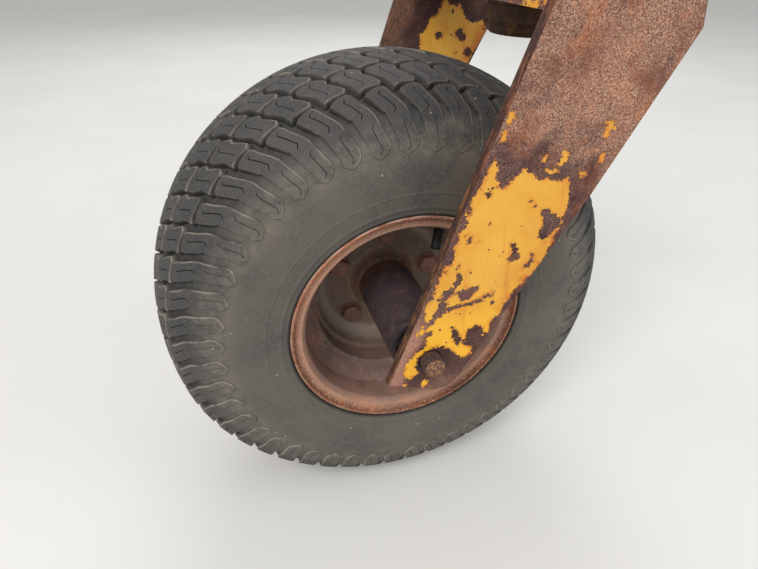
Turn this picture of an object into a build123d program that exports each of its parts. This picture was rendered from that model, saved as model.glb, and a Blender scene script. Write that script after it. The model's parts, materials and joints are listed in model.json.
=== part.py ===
from build123d import *
import math
import os

# Caster wheel and fork of a wheel rake, in millimetres, +Z up, +X ahead.
# The origin is the middle of the mounting face on the pivot's plate.
# The fork swivels about the upright spindle and its wheel trails behind it.

# Tyre and rim, named by their size code of 18 x 8.50 - 8
TYRE_RADIUS = 228.6
TREAD_HALF_WIDTH = 71.5
TREAD_CROWN = 12.1
SHOULDER_BULGE = 4.7
SHOULDER_RADIUS = 180.8
SHOULDER_HALF_WIDTH = 97.8
SIDE_RADIUS = 150.0
SIDE_HALF_WIDTH = 101.5
BEAD_EDGE_HEIGHT = 2.0
BEAD_EDGE_OUTSET = 1.5
TYRE_WALL = 5.0
TREAD_WALL = 10.0
INNER_CORNER = 3.0

# Tread: a vee groove slants across it at each pitch, and narrower grooves run round the tyre
# at its middle and between its blocks. Angles are in degrees about the axle.
LUG_COUNT = 48
TREAD_ANGLE = 6.6
SLANT_DEPTH = 6.0
SLANT_HALF_WIDTH = 4.2
SLANT_EDGE_TURN = 9.8
ROUND_DEPTH = 5.0
ROUND_HALF_WIDTH = 2.2
BLOCK_WIDTH = 36.0

# The slanted grooves run out on the shoulder, and stop at its foot
SHOULDER_TURN = 13.5
SHOULDER_FALL = 53.0
SHOULDER_GROOVE_DEPTH = 3.0
SHOULDER_GROOVE_HALF_WIDTH = 3.2
SIDE_TURN = 15.0

RIM_SEAT_RADIUS = 101.6
RIM_HALF_WIDTH = 88.9
RIM_LIP_HEIGHT = 12.1
RIM_LIP_REACH = 6.5
RIM_WALL = 3.0
LIP_CURL = 6.0
LIP_CURL_SAG = 1.9
LIP_ROLL = 1.5
LIP_INNER_FLAT = 8.0
LIP_INNER_SAG = 4.6
SEAT_WIDTH = 27.0
SEAT_HEEL = 5.0
SEAT_ROOT = 3.0
SEAT_TAPER = 2.0
WALL_BEND = 1.5
WELL_RADIUS = 83.0
WELL_NEAR = 46.0
WELL_FAR = 26.0
WELL_SLOPE = 15.0
BEAD_HEIGHT = 14.0
BEAD_WIDTH = 14.0
BEAD_CLEARANCE = 0.3

# Wheel disc and hub
DISC_FACE = -5.0
DISC_WALL = 4.5
DISC_FLAT_RADIUS = 60.0
DISC_BORE_RADIUS = 38.0
DISC_SKIRT = 23.0
HUB_TUBE_RADIUS = 28.6
HUB_BORE_RADIUS = 23.5
HUB_LENGTH = 250.0
HUB_FLANGE_RADIUS = 64.0
HUB_FLANGE_THICKNESS = 8.0
HUB_COLLAR_HEIGHT = 4.0
HUB_COLLAR_BEVEL = 2.5
BEARING_WIDTH = 15.0
SEAL_WIDTH = 6.0
SEAL_RECESS = 2.0
RUNNING_CLEARANCE = 0.05
FIXED_CLEARANCE = 0.0

BOLT_COUNT = 5
BOLT_CIRCLE = 105.0
BOLT_FIRST_ANGLE = 11.0
BOLT_RADIUS = 6.35
BOLT_HEAD_FLATS = 19.0
BOLT_HEAD_HEIGHT = 8.0
BOLT_TAIL = 5.0
NUT_HEIGHT = 11.0

VALVE_ANGLE = 62.0
VALVE_RADIUS = 4.5
VALVE_LENGTH = 30.0
VALVE_INSIDE = 6.0
VALVE_TILT = 35.0

# How far a cutter reaches past what it cuts
OVERCUT = 1.0

# Fork arms, flat plates with the axle hole as their own origin
ARM_INNER = 138.5
ARM_THICKNESS = 9.5
ARM_LIP = 8.0
ARM_HEEL = (-38.0, -21.0)
ARM_TOE = (19.6, -41.6)
ARM_TOE_FILLET = 19.0
ARM_FRONT_BEND = (130.0, 140.0)
ARM_SHOULDER = (192.0, 257.0)
ARM_REAR_LEAN = 0.358
ARM_FRONT_LEAN = -0.17

# Axle bolt and what is on it
AXLE_RADIUS = 9.525
AXLE_NEAR_TAIL = 12.5
AXLE_HEAD_FLATS = 28.6
AXLE_HEAD_HEIGHT = 12.0
WASHER_RADIUS = 19.0
WASHER_THICKNESS = 3.0
SPACER_RADIUS = 16.0
SPACER_GAP = 0.3

# Crown of the fork and its spindle
TRAIL = 148.0
CROWN_UNDERSIDE = 296.0
CROWN_THICKNESS = 12.0
CROWN_INSET = 5.0
CLOSER_THICKNESS = 8.0
CLOSER_BOTTOM = 270.0
BOSS_RADIUS = 44.45
BOSS_BOTTOM = 237.0
RIB_THICKNESS = 8.0
RIB_DEPTH = 34.0
SPINDLE_RADIUS = 22.225
THRUST_RADIUS = 40.0
THRUST_THICKNESS = 5.0
END_GAP = 0.3
RETAINER_RADIUS = 34.0
RETAINER_THICKNESS = 5.0
SPINDLE_NUT_FLATS = 57.0
SPINDLE_NUT_HEIGHT = 22.0
SPINDLE_TAIL = 9.0

# Pivot sleeve that bolts to the machine
SLEEVE_RADIUS = 38.1
SLEEVE_BORE_RADIUS = 27.0
SLEEVE_LENGTH = 150.0
BUSH_LENGTH = 38.0
BUSH_FLANGE_RADIUS = 35.0
BUSH_FLANGE = 4.0
PLATE_THICKNESS = 12.7
PLATE_WIDTH = 190.0
PLATE_HEIGHT = 132.0
PLATE_STANDOFF = 22.0
PLATE_CORNER = 12.0
PLATE_HOLE_RADIUS = 8.75
PLATE_HOLE_SPACING_Y = 150.0
PLATE_HOLE_SPACING_Z = 92.0
WEB_THICKNESS = 10.0
WEB_WIDTH = 62.0
WEB_INSET = 14.0

# Levels above the axle, from the crown up to the spindle's end
crown_top = CROWN_UNDERSIDE + CROWN_THICKNESS
arm_top = crown_top + ARM_LIP
thrust_top = crown_top + THRUST_THICKNESS
sleeve_low = thrust_top + END_GAP + BUSH_FLANGE
sleeve_high = sleeve_low + SLEEVE_LENGTH
retainer_low = sleeve_high + BUSH_FLANGE + END_GAP
spindle_nut_low = retainer_low + RETAINER_THICKNESS
spindle_top = spindle_nut_low + SPINDLE_NUT_HEIGHT + SPINDLE_TAIL

# Places in the part's own frame
PIVOT_X = -(PLATE_THICKNESS + PLATE_STANDOFF + SLEEVE_RADIUS)
WHEEL_X = PIVOT_X - TRAIL
WHEEL_Z = -(sleeve_low + sleeve_high) / 2
rim_lip_radius = RIM_SEAT_RADIUS + RIM_LIP_HEIGHT
arm_outer = ARM_INNER + ARM_THICKNESS
hub_end = HUB_LENGTH / 2


def at_wheel(shape):
    """Move a shape drawn about the wheel's centre to its place."""
    return shape.moved(Location((WHEEL_X, 0, WHEEL_Z)))


def at_pivot(shape):
    """Move a shape drawn about the spindle's axis, at axle height, to its place."""
    return shape.moved(Location((PIVOT_X, 0, WHEEL_Z)))


def outline(start, steps):
    """A closed face: each step is an end point, or a middle point and an end point."""
    edges = []
    here = start
    for step in steps:
        if len(step) == 1:
            edges.append(Line(here, step[0]))
        else:
            edges.append(ThreePointArc(here, step[0], step[1]))
        here = step[-1]
    edges.append(Line(here, start))
    return make_face(edges)


def turned(start, steps):
    """Turn an outline of (radius, place along the axle) about the axle."""
    return revolve(outline(start, steps), Axis.Y)


def ring(outer, inner, low, high):
    """A plain ring about the axle between two places along it."""
    return turned((inner, low), [[(outer, low)], [(outer, high)], [(inner, high)]])


def upright_ring(outer, inner, low, high):
    """A plain ring about the upright axis, or a disc if inner is nought."""
    body = Pos(0, 0, (low + high) / 2) * Cylinder(outer, high - low)
    if inner > 0:
        body = body - Pos(0, 0, (low + high) / 2) * Cylinder(inner, high - low + 2 * OVERCUT)
    return body


def across(shape):
    """Turn a shape that stands along Z so that it lies along the axle, from -Y to +Y."""
    return shape.rotate(Axis.X, -90)


def hexagon(flats, low, high):
    """A hexagonal block along the axle."""
    prism = extrude(RegularPolygon(flats / math.sqrt(3), 6), high - low)
    return across(prism.moved(Location((0, 0, low))))


def rod(radius, low, high):
    """A round bar along the axle."""
    return across(Pos(0, 0, (low + high) / 2) * Cylinder(radius, high - low))


def mirrored(points, sign):
    """The same (radius, place) points on the near side (-1) or the far side (+1)."""
    return [(r, sign * y) for r, y in points]


def crown_radius(place):
    """Radius of the tread at a distance from its middle."""
    return TYRE_RADIUS - TREAD_CROWN * (place / TREAD_HALF_WIDTH) ** 2


def tread_half():
    """Rows from the tread's middle outwards: (place, radius, turn, fall, groove half width, groove depth)."""
    def on_crown(place, drop):
        share = 1 - drop / SLANT_DEPTH
        fall = math.degrees(math.atan(2 * TREAD_CROWN * place / TREAD_HALF_WIDTH ** 2))
        return (place, crown_radius(place) - drop, SLANT_EDGE_TURN * place / TREAD_HALF_WIDTH, fall,
                SLANT_HALF_WIDTH * share, SLANT_DEPTH * share)

    tread_edge = crown_radius(TREAD_HALF_WIDTH)
    across_shoulder = (tread_edge - SHOULDER_RADIUS, SHOULDER_HALF_WIDTH - TREAD_HALF_WIDTH)
    chord = math.hypot(*across_shoulder)
    shoulder_radius = (tread_edge + SHOULDER_RADIUS) / 2 + SHOULDER_BULGE * across_shoulder[1] / chord
    shoulder_place = (TREAD_HALF_WIDTH + SHOULDER_HALF_WIDTH) / 2 + SHOULDER_BULGE * across_shoulder[0] / chord
    return [
        on_crown(0, ROUND_DEPTH), on_crown(ROUND_HALF_WIDTH, 0),
        on_crown(BLOCK_WIDTH - ROUND_HALF_WIDTH, 0), on_crown(BLOCK_WIDTH, ROUND_DEPTH),
        on_crown(BLOCK_WIDTH + ROUND_HALF_WIDTH, 0), on_crown(TREAD_HALF_WIDTH, 0),
        (shoulder_place, shoulder_radius, SHOULDER_TURN, SHOULDER_FALL,
         SHOULDER_GROOVE_HALF_WIDTH, SHOULDER_GROOVE_DEPTH)]


def tyre_side():
    """(radius, place) points of one half of the tyre: up its side from the bead, then down the inside."""
    tread_edge = crown_radius(TREAD_HALF_WIDTH)
    lip_place = RIM_HALF_WIDTH + RIM_LIP_REACH
    flange = RIM_HALF_WIDTH - BEAD_CLEARANCE
    seat = RIM_SEAT_RADIUS + BEAD_CLEARANCE
    heel = RIM_HALF_WIDTH - SEAT_HEEL - BEAD_CLEARANCE
    toe = heel - BEAD_WIDTH
    over_lip = rim_lip_radius + BEAD_CLEARANCE
    past_curl = rim_lip_radius - RIM_HALF_WIDTH - 2 * LIP_CURL_SAG + 2 * BEAD_CLEARANCE
    outside = [
        (seat, heel), (flange + past_curl, flange), (over_lip, over_lip - past_curl),
        (rim_lip_radius + BEAD_EDGE_HEIGHT, lip_place + BEAD_EDGE_OUTSET),
        (SIDE_RADIUS, SIDE_HALF_WIDTH), (SHOULDER_RADIUS, SHOULDER_HALF_WIDTH)]
    inside = [
        (tread_edge - TREAD_WALL, TREAD_HALF_WIDTH - INNER_CORNER),
        (SHOULDER_RADIUS, SHOULDER_HALF_WIDTH - TYRE_WALL - INNER_CORNER),
        (SIDE_RADIUS, SIDE_HALF_WIDTH - TYRE_WALL), (seat + BEAD_HEIGHT, toe), (seat, toe)]
    return outside, inside


def grooved_row(row, sign):
    """One row of the tread on a side: (angle, radius, place) of the groove's two edges and its bottom."""
    place, radius, turn, fall, half_width, depth = row
    angle = TREAD_ANGLE + sign * turn
    half = math.degrees(half_width / radius)
    drop = math.radians(fall)
    bottom = (angle, radius - depth * math.cos(drop), sign * (place - depth * math.sin(drop)))
    return [(angle - half, radius, sign * place), bottom, (angle + half, radius, sign * place)]


def plain_rows(points, turn):
    """Rows without a groove, at one angle."""
    return [[(TREAD_ANGLE + turn, radius, place)] for radius, place in points]


def ring_faces(rows, count):
    """Flat faces between rows about the axle, each row's corners repeated at every pitch."""
    pitch = 360 / count

    def corner(row, i, k):
        if k == 3:
            i, k = i + 1, 0
        angle, radius, place = row[k if len(row) > 1 else 0]
        turn = math.radians(angle + pitch * (i % count))
        return Vector(radius * math.cos(turn), place, radius * math.sin(turn))

    def polygon(corners):
        return Face(Wire.make_polygon(corners, close=True))

    faces = []
    for start, end in zip(rows, rows[1:]):
        for i in range(count):
            if len(start) == len(end) == 1:
                faces.append(polygon([
                    corner(start, i, 0), corner(end, i, 0), corner(end, i, 3), corner(start, i, 3)]))
                continue
            for k in range(3):
                a, b = corner(start, i, k), corner(end, i, k)
                c, d = corner(end, i, k + 1), corner(start, i, k + 1)
                faces += [polygon(three) for three in ((a, b, c), (a, c, d))
                          if min((p - q).length for p, q in zip(three, three[1:] + three[:1])) > 0.01]
    return faces


def make_tyre():
    """A hollow tyre with a grooved tread and its beads on the rim's two seats."""
    outside, inside = tyre_side()
    half = tread_half()
    rows = plain_rows(mirrored(outside, -1), -SIDE_TURN)
    rows += [grooved_row(row, -1) for row in half[:0:-1]] + [grooved_row(row, 1) for row in half]
    rows += plain_rows(mirrored(outside, 1)[::-1], SIDE_TURN)
    rows += plain_rows(mirrored(inside, 1)[::-1], SIDE_TURN)
    rows += plain_rows([(TYRE_RADIUS - TREAD_WALL, 0)], SIDE_TURN)
    rows += plain_rows(mirrored(inside, -1) + mirrored(outside[:1], -1), SIDE_TURN)
    return at_wheel(Solid(Shell(ring_faces(rows, LUG_COUNT))))


def make_rim():
    """A drop-centre rim: two lips, two bead seats and the well between them."""
    lip_place = RIM_HALF_WIDTH + RIM_LIP_REACH
    well_inside = WELL_RADIUS - RIM_WALL
    seat_inside = RIM_SEAT_RADIUS - RIM_WALL
    seat_edge = RIM_HALF_WIDTH - SEAT_WIDTH

    def side(sign, well):
        tyre_side = mirrored([
            (WELL_RADIUS, well), (RIM_SEAT_RADIUS - SEAT_TAPER, seat_edge),
            (RIM_SEAT_RADIUS, RIM_HALF_WIDTH - SEAT_HEEL),
            (RIM_SEAT_RADIUS + SEAT_ROOT, RIM_HALF_WIDTH), (rim_lip_radius - LIP_CURL, RIM_HALF_WIDTH),
            (rim_lip_radius - LIP_CURL_SAG, RIM_HALF_WIDTH + LIP_CURL_SAG),
            (rim_lip_radius, lip_place)], sign)
        hub_side = mirrored([
            (rim_lip_radius - LIP_ROLL, lip_place + LIP_ROLL), (rim_lip_radius - RIM_WALL, lip_place),
            (rim_lip_radius - LIP_INNER_SAG, lip_place - RIM_WALL),
            (rim_lip_radius - LIP_INNER_FLAT, RIM_HALF_WIDTH + RIM_WALL),
            (RIM_SEAT_RADIUS + SEAT_ROOT - SEAT_TAPER, RIM_HALF_WIDTH + RIM_WALL),
            (seat_inside, RIM_HALF_WIDTH - RIM_WALL),
            (seat_inside - SEAT_TAPER, seat_edge + WALL_BEND), (well_inside, well + WALL_BEND)], sign)
        return tyre_side, hub_side

    near, near_in = side(-1, WELL_NEAR)
    far, far_in = side(1, WELL_FAR)
    steps = [
        [near[1]], [near[2]], [near[3]], [near[4]], [near[5], near[6]],
        [near_in[0], near_in[1]], [near_in[2], near_in[3]], [near_in[4]], [near_in[5]],
        [near_in[6]], [near_in[7]],
        [far_in[7]], [far_in[6]], [far_in[5]], [far_in[4]], [far_in[3]],
        [far_in[2], far_in[1]], [far_in[0], far[6]], [far[5], far[4]],
        [far[3]], [far[2]], [far[1]], [far[0]]]
    rim = turned(near[0], steps)
    return at_wheel(rim - valve_bar())


def valve_bar():
    """The valve stem, through the slope between the near seat and the well."""
    slope_radius = (WELL_RADIUS + RIM_SEAT_RADIUS) / 2 - RIM_WALL / 2
    slope_place = -(WELL_NEAR + RIM_HALF_WIDTH - SEAT_WIDTH) / 2
    bar = Pos(0, 0, VALVE_LENGTH / 2 - VALVE_INSIDE) * Cylinder(VALVE_RADIUS, VALVE_LENGTH)
    bar = bar.rotate(Axis.X, 180 - VALVE_TILT).moved(Location((0, slope_place, slope_radius)))
    return bar.rotate(Axis.Y, 90 - VALVE_ANGLE)


def bolt_places():
    """Angles of the wheel bolts about the axle, from +X towards +Z."""
    return [BOLT_FIRST_ANGLE + 360 / BOLT_COUNT * i for i in range(BOLT_COUNT)]


def around(shape, angle):
    """Carry a shape on the axle out to the bolt circle at an angle."""
    return shape.moved(Location((BOLT_CIRCLE / 2, 0, 0))).rotate(Axis.Y, -angle)


def bolted(body):
    """Cut the wheel bolts' holes through the disc and the hub flange."""
    back = DISC_FACE + DISC_WALL + HUB_FLANGE_THICKNESS
    for angle in bolt_places():
        body = body - around(rod(BOLT_RADIUS + FIXED_CLEARANCE, DISC_FACE - OVERCUT, back + OVERCUT), angle)
    return body


def make_wheel_disc():
    """The pressed disc: a flat middle and a skirt welded inside the rim's well."""
    skirt_outer = WELL_RADIUS - RIM_WALL
    skirt_inner = skirt_outer - DISC_WALL
    bend = skirt_inner - DISC_FLAT_RADIUS
    back = DISC_FACE + DISC_WALL
    reach = bend * (1 - math.sqrt(0.5))
    outer_bend = bend + DISC_WALL
    outer_reach = outer_bend * (1 - math.sqrt(0.5))
    disc = turned((DISC_BORE_RADIUS, DISC_FACE), [
        [(DISC_FLAT_RADIUS, DISC_FACE)],
        [(skirt_inner - reach, DISC_FACE - reach), (skirt_inner, DISC_FACE - bend)],
        [(skirt_inner, DISC_FACE - DISC_SKIRT)],
        [(skirt_outer, DISC_FACE - DISC_SKIRT)],
        [(skirt_outer, DISC_FACE - bend)],
        [(skirt_outer - outer_reach, back - outer_reach), (DISC_FLAT_RADIUS, back)],
        [(DISC_BORE_RADIUS, back)]])
    return at_wheel(bolted(disc))


def make_hub_tube():
    """The long hub tube that runs from arm to arm."""
    return at_wheel(ring(HUB_TUBE_RADIUS, HUB_BORE_RADIUS, -hub_end, hub_end))


def make_hub_flange():
    """The plate on the hub tube that the wheel disc bolts to, with its centring collar."""
    back = DISC_FACE + DISC_WALL
    flange = turned((HUB_TUBE_RADIUS, DISC_FACE - HUB_COLLAR_HEIGHT), [
        [(DISC_BORE_RADIUS, DISC_FACE - HUB_COLLAR_HEIGHT + HUB_COLLAR_BEVEL)],
        [(DISC_BORE_RADIUS, back)],
        [(HUB_FLANGE_RADIUS, back)],
        [(HUB_FLANGE_RADIUS, back + HUB_FLANGE_THICKNESS)],
        [(HUB_TUBE_RADIUS, back + HUB_FLANGE_THICKNESS)]])
    return at_wheel(bolted(flange))


def make_bearing(sign):
    """One of the two bearings, inside the end of the hub tube."""
    outside = hub_end - SEAL_RECESS - SEAL_WIDTH
    places = sorted([sign * outside, sign * (outside - BEARING_WIDTH)])
    return at_wheel(ring(HUB_BORE_RADIUS, AXLE_RADIUS + RUNNING_CLEARANCE, *places))


def make_seal(sign):
    """The black seal outside a bearing, running on the spacer."""
    outside = hub_end - SEAL_RECESS
    places = sorted([sign * outside, sign * (outside - SEAL_WIDTH)])
    return at_wheel(ring(HUB_BORE_RADIUS, SPACER_RADIUS + RUNNING_CLEARANCE, *places))


def make_spacer(sign):
    """The spacer between a bearing and an arm."""
    inside = hub_end - SEAL_RECESS - SEAL_WIDTH + SPACER_GAP
    places = sorted([sign * inside, sign * ARM_INNER])
    return at_wheel(ring(SPACER_RADIUS, AXLE_RADIUS + FIXED_CLEARANCE, *places))


def make_wheel_bolts():
    """Hexagon bolts from the near side through the disc and the hub flange."""
    tail = DISC_FACE + DISC_WALL + HUB_FLANGE_THICKNESS + NUT_HEIGHT + BOLT_TAIL
    bolts = []
    for angle in bolt_places():
        head = hexagon(BOLT_HEAD_FLATS, DISC_FACE - BOLT_HEAD_HEIGHT, DISC_FACE)
        bolts.append(around(head + rod(BOLT_RADIUS, DISC_FACE - OVERCUT, tail), angle))
    return at_wheel(Compound(children=bolts))


def make_wheel_nuts():
    """Hexagon nuts on the far side of the hub flange."""
    seat = DISC_FACE + DISC_WALL + HUB_FLANGE_THICKNESS
    nuts = []
    for angle in bolt_places():
        hole = rod(BOLT_RADIUS, seat - OVERCUT, seat + NUT_HEIGHT + OVERCUT)
        nuts.append(around(hexagon(BOLT_HEAD_FLATS, seat, seat + NUT_HEIGHT) - hole, angle))
    return at_wheel(Compound(children=nuts))


def arm_rear(z):
    """Place of the arm's rear edge at a height above the axle."""
    return ARM_HEEL[0] + ARM_REAR_LEAN * (z - ARM_HEEL[1])


def arm_front(z):
    """Place of the arm's front edge above its shoulder."""
    return ARM_SHOULDER[0] + ARM_FRONT_LEAN * (z - ARM_SHOULDER[1])


def upright_plate(points, low, high):
    """A plate parallel to the wheel's plane, from (x, z) corners about the axle."""
    face = make_face(Polyline(*points, close=True))
    plate = extrude(face, high - low)
    return plate.rotate(Axis.X, 90).moved(Location((0, high, 0)))


def make_arm(sign):
    """A tapered arm with a rounded toe, the axle's hole and its top above the crown."""
    low, high = sorted([sign * ARM_INNER, sign * arm_outer])
    plate = upright_plate([
        ARM_HEEL, ARM_TOE, ARM_FRONT_BEND, ARM_SHOULDER,
        (arm_front(arm_top), arm_top), (arm_rear(arm_top), arm_top)], low, high)
    toe = plate.edges().filter_by(Axis.Y).sort_by_distance((ARM_TOE[0], (low + high) / 2, ARM_TOE[1]))[0]
    plate = fillet(toe, ARM_TOE_FILLET)
    return at_wheel(plate - rod(AXLE_RADIUS + FIXED_CLEARANCE, low - OVERCUT, high + OVERCUT))


def make_axle_bolt():
    """The axle bolt: its head outside the far arm, its tail out through the near arm."""
    head_seat = arm_outer + WASHER_THICKNESS
    shank = rod(AXLE_RADIUS, -(arm_outer + AXLE_NEAR_TAIL), head_seat + OVERCUT)
    return at_wheel(shank + hexagon(AXLE_HEAD_FLATS, head_seat, head_seat + AXLE_HEAD_HEIGHT))


def make_axle_washer():
    """The washer under the axle bolt's head."""
    return at_wheel(ring(WASHER_RADIUS, AXLE_RADIUS + FIXED_CLEARANCE, arm_outer, arm_outer + WASHER_THICKNESS))


def make_crown_plate():
    """The level plate that joins the two arms, with the spindle through it."""
    rear = arm_rear(CROWN_UNDERSIDE) + CROWN_INSET
    front = arm_front(crown_top) - CROWN_INSET
    plate = Box(front - rear, 2 * ARM_INNER, CROWN_THICKNESS)
    plate = Pos((front + rear) / 2, 0, CROWN_UNDERSIDE + CROWN_THICKNESS / 2) * plate
    hole = Pos(TRAIL, 0, CROWN_UNDERSIDE) * Cylinder(SPINDLE_RADIUS + FIXED_CLEARANCE, 4 * CROWN_THICKNESS)
    return at_wheel(plate - hole)


def make_closer(front_side):
    """A plate between the arms that closes the front or the rear of the crown."""
    if front_side:
        top = arm_front(CROWN_UNDERSIDE) - CROWN_INSET
        bottom = arm_front(CLOSER_BOTTOM) - CROWN_INSET
        inward = -CLOSER_THICKNESS
    else:
        top = arm_rear(CROWN_UNDERSIDE) + CROWN_INSET
        bottom = arm_rear(CLOSER_BOTTOM) + CROWN_INSET
        inward = CLOSER_THICKNESS
    corners = [(bottom, CLOSER_BOTTOM), (bottom + inward, CLOSER_BOTTOM),
               (top + inward, CROWN_UNDERSIDE), (top, CROWN_UNDERSIDE)]
    plate = at_wheel(upright_plate(corners, -ARM_INNER, ARM_INNER))
    return plate - at_pivot(upright_ring(BOSS_RADIUS, 0, CLOSER_BOTTOM - OVERCUT, crown_top))


def make_boss():
    """The heavy boss under the crown that holds the spindle's foot."""
    return at_pivot(upright_ring(BOSS_RADIUS, SPINDLE_RADIUS + FIXED_CLEARANCE, BOSS_BOTTOM, CROWN_UNDERSIDE))


def make_crown_rib(sign):
    """An upright rib under the crown, from the boss out to an arm."""
    inner = BOSS_RADIUS - RIB_THICKNESS / 2
    rib = extrude(make_face(Polyline(
        (inner, CROWN_UNDERSIDE), (ARM_INNER, CROWN_UNDERSIDE),
        (ARM_INNER, CROWN_UNDERSIDE - RIB_DEPTH / 2), (inner, CROWN_UNDERSIDE - RIB_DEPTH), close=True)),
        RIB_THICKNESS)
    rib = rib.rotate(Axis.X, 90).rotate(Axis.Z, 90).moved(Location((-RIB_THICKNESS / 2, 0, 0)))
    rib = rib - Pos(0, 0, CROWN_UNDERSIDE) * Cylinder(BOSS_RADIUS, 4 * RIB_DEPTH)
    if sign < 0:
        rib = rib.rotate(Axis.Z, 180)
    return at_pivot(rib)


def make_spindle():
    """The round spindle, from the foot of the boss up through the sleeve."""
    return at_pivot(upright_ring(SPINDLE_RADIUS, 0, BOSS_BOTTOM, spindle_top))


def make_spindle_nut():
    """The nut on top of the spindle."""
    nut = extrude(RegularPolygon(SPINDLE_NUT_FLATS / math.sqrt(3), 6), SPINDLE_NUT_HEIGHT)
    nut = nut.moved(Location((0, 0, spindle_nut_low)))
    hole = upright_ring(SPINDLE_RADIUS + FIXED_CLEARANCE, 0, spindle_nut_low - OVERCUT, spindle_top + OVERCUT)
    return at_pivot(nut - hole)


def make_bush(low):
    """A flanged bush in one end of the sleeve; low is True for the bottom one."""
    bore = SPINDLE_RADIUS + RUNNING_CLEARANCE
    if low:
        body = upright_ring(SLEEVE_BORE_RADIUS, bore, sleeve_low - BUSH_FLANGE, sleeve_low + BUSH_LENGTH)
        body = body + upright_ring(BUSH_FLANGE_RADIUS, bore, sleeve_low - BUSH_FLANGE, sleeve_low)
    else:
        body = upright_ring(SLEEVE_BORE_RADIUS, bore, sleeve_high - BUSH_LENGTH, sleeve_high + BUSH_FLANGE)
        body = body + upright_ring(BUSH_FLANGE_RADIUS, bore, sleeve_high, sleeve_high + BUSH_FLANGE)
    return at_pivot(body)


def make_mount_plate():
    """The plate whose front face bolts to the machine."""
    plate = extrude(RectangleRounded(PLATE_WIDTH, PLATE_HEIGHT, PLATE_CORNER), PLATE_THICKNESS)
    for y in (-PLATE_HOLE_SPACING_Y / 2, PLATE_HOLE_SPACING_Y / 2):
        for z in (-PLATE_HOLE_SPACING_Z / 2, PLATE_HOLE_SPACING_Z / 2):
            plate = plate - Pos(y, z, 0) * Cylinder(PLATE_HOLE_RADIUS, 4 * PLATE_THICKNESS)
    plate = Plane((-PLATE_THICKNESS, 0, 0), x_dir=(0, 1, 0), z_dir=(1, 0, 0)) * plate
    return plate


def make_web(level):
    """A level web from the sleeve to the plate; level is +1 for the upper one."""
    front = -PLATE_THICKNESS
    height = level * (SLEEVE_LENGTH / 2 - WEB_INSET - WEB_THICKNESS / 2)
    web = Pos((PIVOT_X + front) / 2, 0, height) * Box(front - PIVOT_X, WEB_WIDTH, WEB_THICKNESS)
    return web - Pos(PIVOT_X, 0, height) * Cylinder(SLEEVE_RADIUS, 4 * WEB_THICKNESS)


parts = {
    "pivot_sleeve": at_pivot(upright_ring(SLEEVE_RADIUS, SLEEVE_BORE_RADIUS, sleeve_low, sleeve_high)),
    "bush_lower": make_bush(True),
    "bush_upper": make_bush(False),
    "mount_plate": make_mount_plate(),
    "web_lower": make_web(-1),
    "web_upper": make_web(1),
    "arm_near": make_arm(-1),
    "arm_far": make_arm(1),
    "crown_plate": make_crown_plate(),
    "crown_closer_front": make_closer(True),
    "crown_closer_rear": make_closer(False),
    "crown_boss": make_boss(),
    "crown_rib_near": make_crown_rib(-1),
    "crown_rib_far": make_crown_rib(1),
    "spindle": make_spindle(),
    "thrust_washer": at_pivot(upright_ring(THRUST_RADIUS, SPINDLE_RADIUS, crown_top, thrust_top)),
    "retaining_washer": at_pivot(upright_ring(RETAINER_RADIUS, SPINDLE_RADIUS, retainer_low, spindle_nut_low)),
    "spindle_nut": make_spindle_nut(),
    "axle_bolt": make_axle_bolt(),
    "axle_washer": make_axle_washer(),
    "spacer_near": make_spacer(-1),
    "spacer_far": make_spacer(1),
    "tyre": make_tyre(),
    "rim": make_rim(),
    "valve_stem": at_wheel(valve_bar()),
    "wheel_disc": make_wheel_disc(),
    "hub_tube": make_hub_tube(),
    "hub_flange": make_hub_flange(),
    "bearing_near": make_bearing(-1),
    "bearing_far": make_bearing(1),
    "seal_near": make_seal(-1),
    "seal_far": make_seal(1),
    "wheel_bolts": make_wheel_bolts(),
    "wheel_nuts": make_wheel_nuts(),
}

os.makedirs("parts", exist_ok=True)
for name, shape in parts.items():
    export_step(shape, f"parts/{name}.step")
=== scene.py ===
import json
import math
import bmesh
import bpy
import numpy as np
from mathutils import Matrix, Vector
from mathutils.geometry import delaunay_2d_cdt


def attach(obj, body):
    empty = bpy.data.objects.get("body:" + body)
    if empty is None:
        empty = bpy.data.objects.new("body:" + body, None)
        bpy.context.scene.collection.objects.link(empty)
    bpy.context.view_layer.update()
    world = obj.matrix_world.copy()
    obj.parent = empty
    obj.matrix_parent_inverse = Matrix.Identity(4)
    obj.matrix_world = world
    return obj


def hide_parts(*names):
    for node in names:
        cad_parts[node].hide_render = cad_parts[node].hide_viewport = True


# Caster wheel and fork of a wheel rake, dressed over its CAD frame.
# Shapes about the axle are drawn in millimetres from the wheel's centre, and placed in metres.

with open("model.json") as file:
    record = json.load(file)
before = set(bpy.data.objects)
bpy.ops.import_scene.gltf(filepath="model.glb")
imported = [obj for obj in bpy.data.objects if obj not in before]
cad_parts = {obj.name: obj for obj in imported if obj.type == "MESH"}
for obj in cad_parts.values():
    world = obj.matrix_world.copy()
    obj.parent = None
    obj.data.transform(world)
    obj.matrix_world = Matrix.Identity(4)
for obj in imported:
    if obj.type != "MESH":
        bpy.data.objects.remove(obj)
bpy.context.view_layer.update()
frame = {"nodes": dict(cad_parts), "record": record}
RECORD = frame["record"]
NODES = frame["nodes"]
MM = 0.001
WHEEL = Vector((-0.2208, 0.0, -0.3923))
FLOOR_Z = -0.6209
PLATE_HALF_WIDTH = 0.095
PLATE_HALF_HEIGHT = 0.066
BOLT_END = -0.1604

# Shader helpers


def srgb(r, g, b):
    """Linear colour of an 8-bit display colour."""
    def lin(v):
        v = v / 255
        return v / 12.92 if v <= 0.04045 else ((v + 0.055) / 1.055) ** 2.4
    return (lin(r), lin(g), lin(b), 1.0)


def grey(value):
    return (value, value, value, 1.0)


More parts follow.
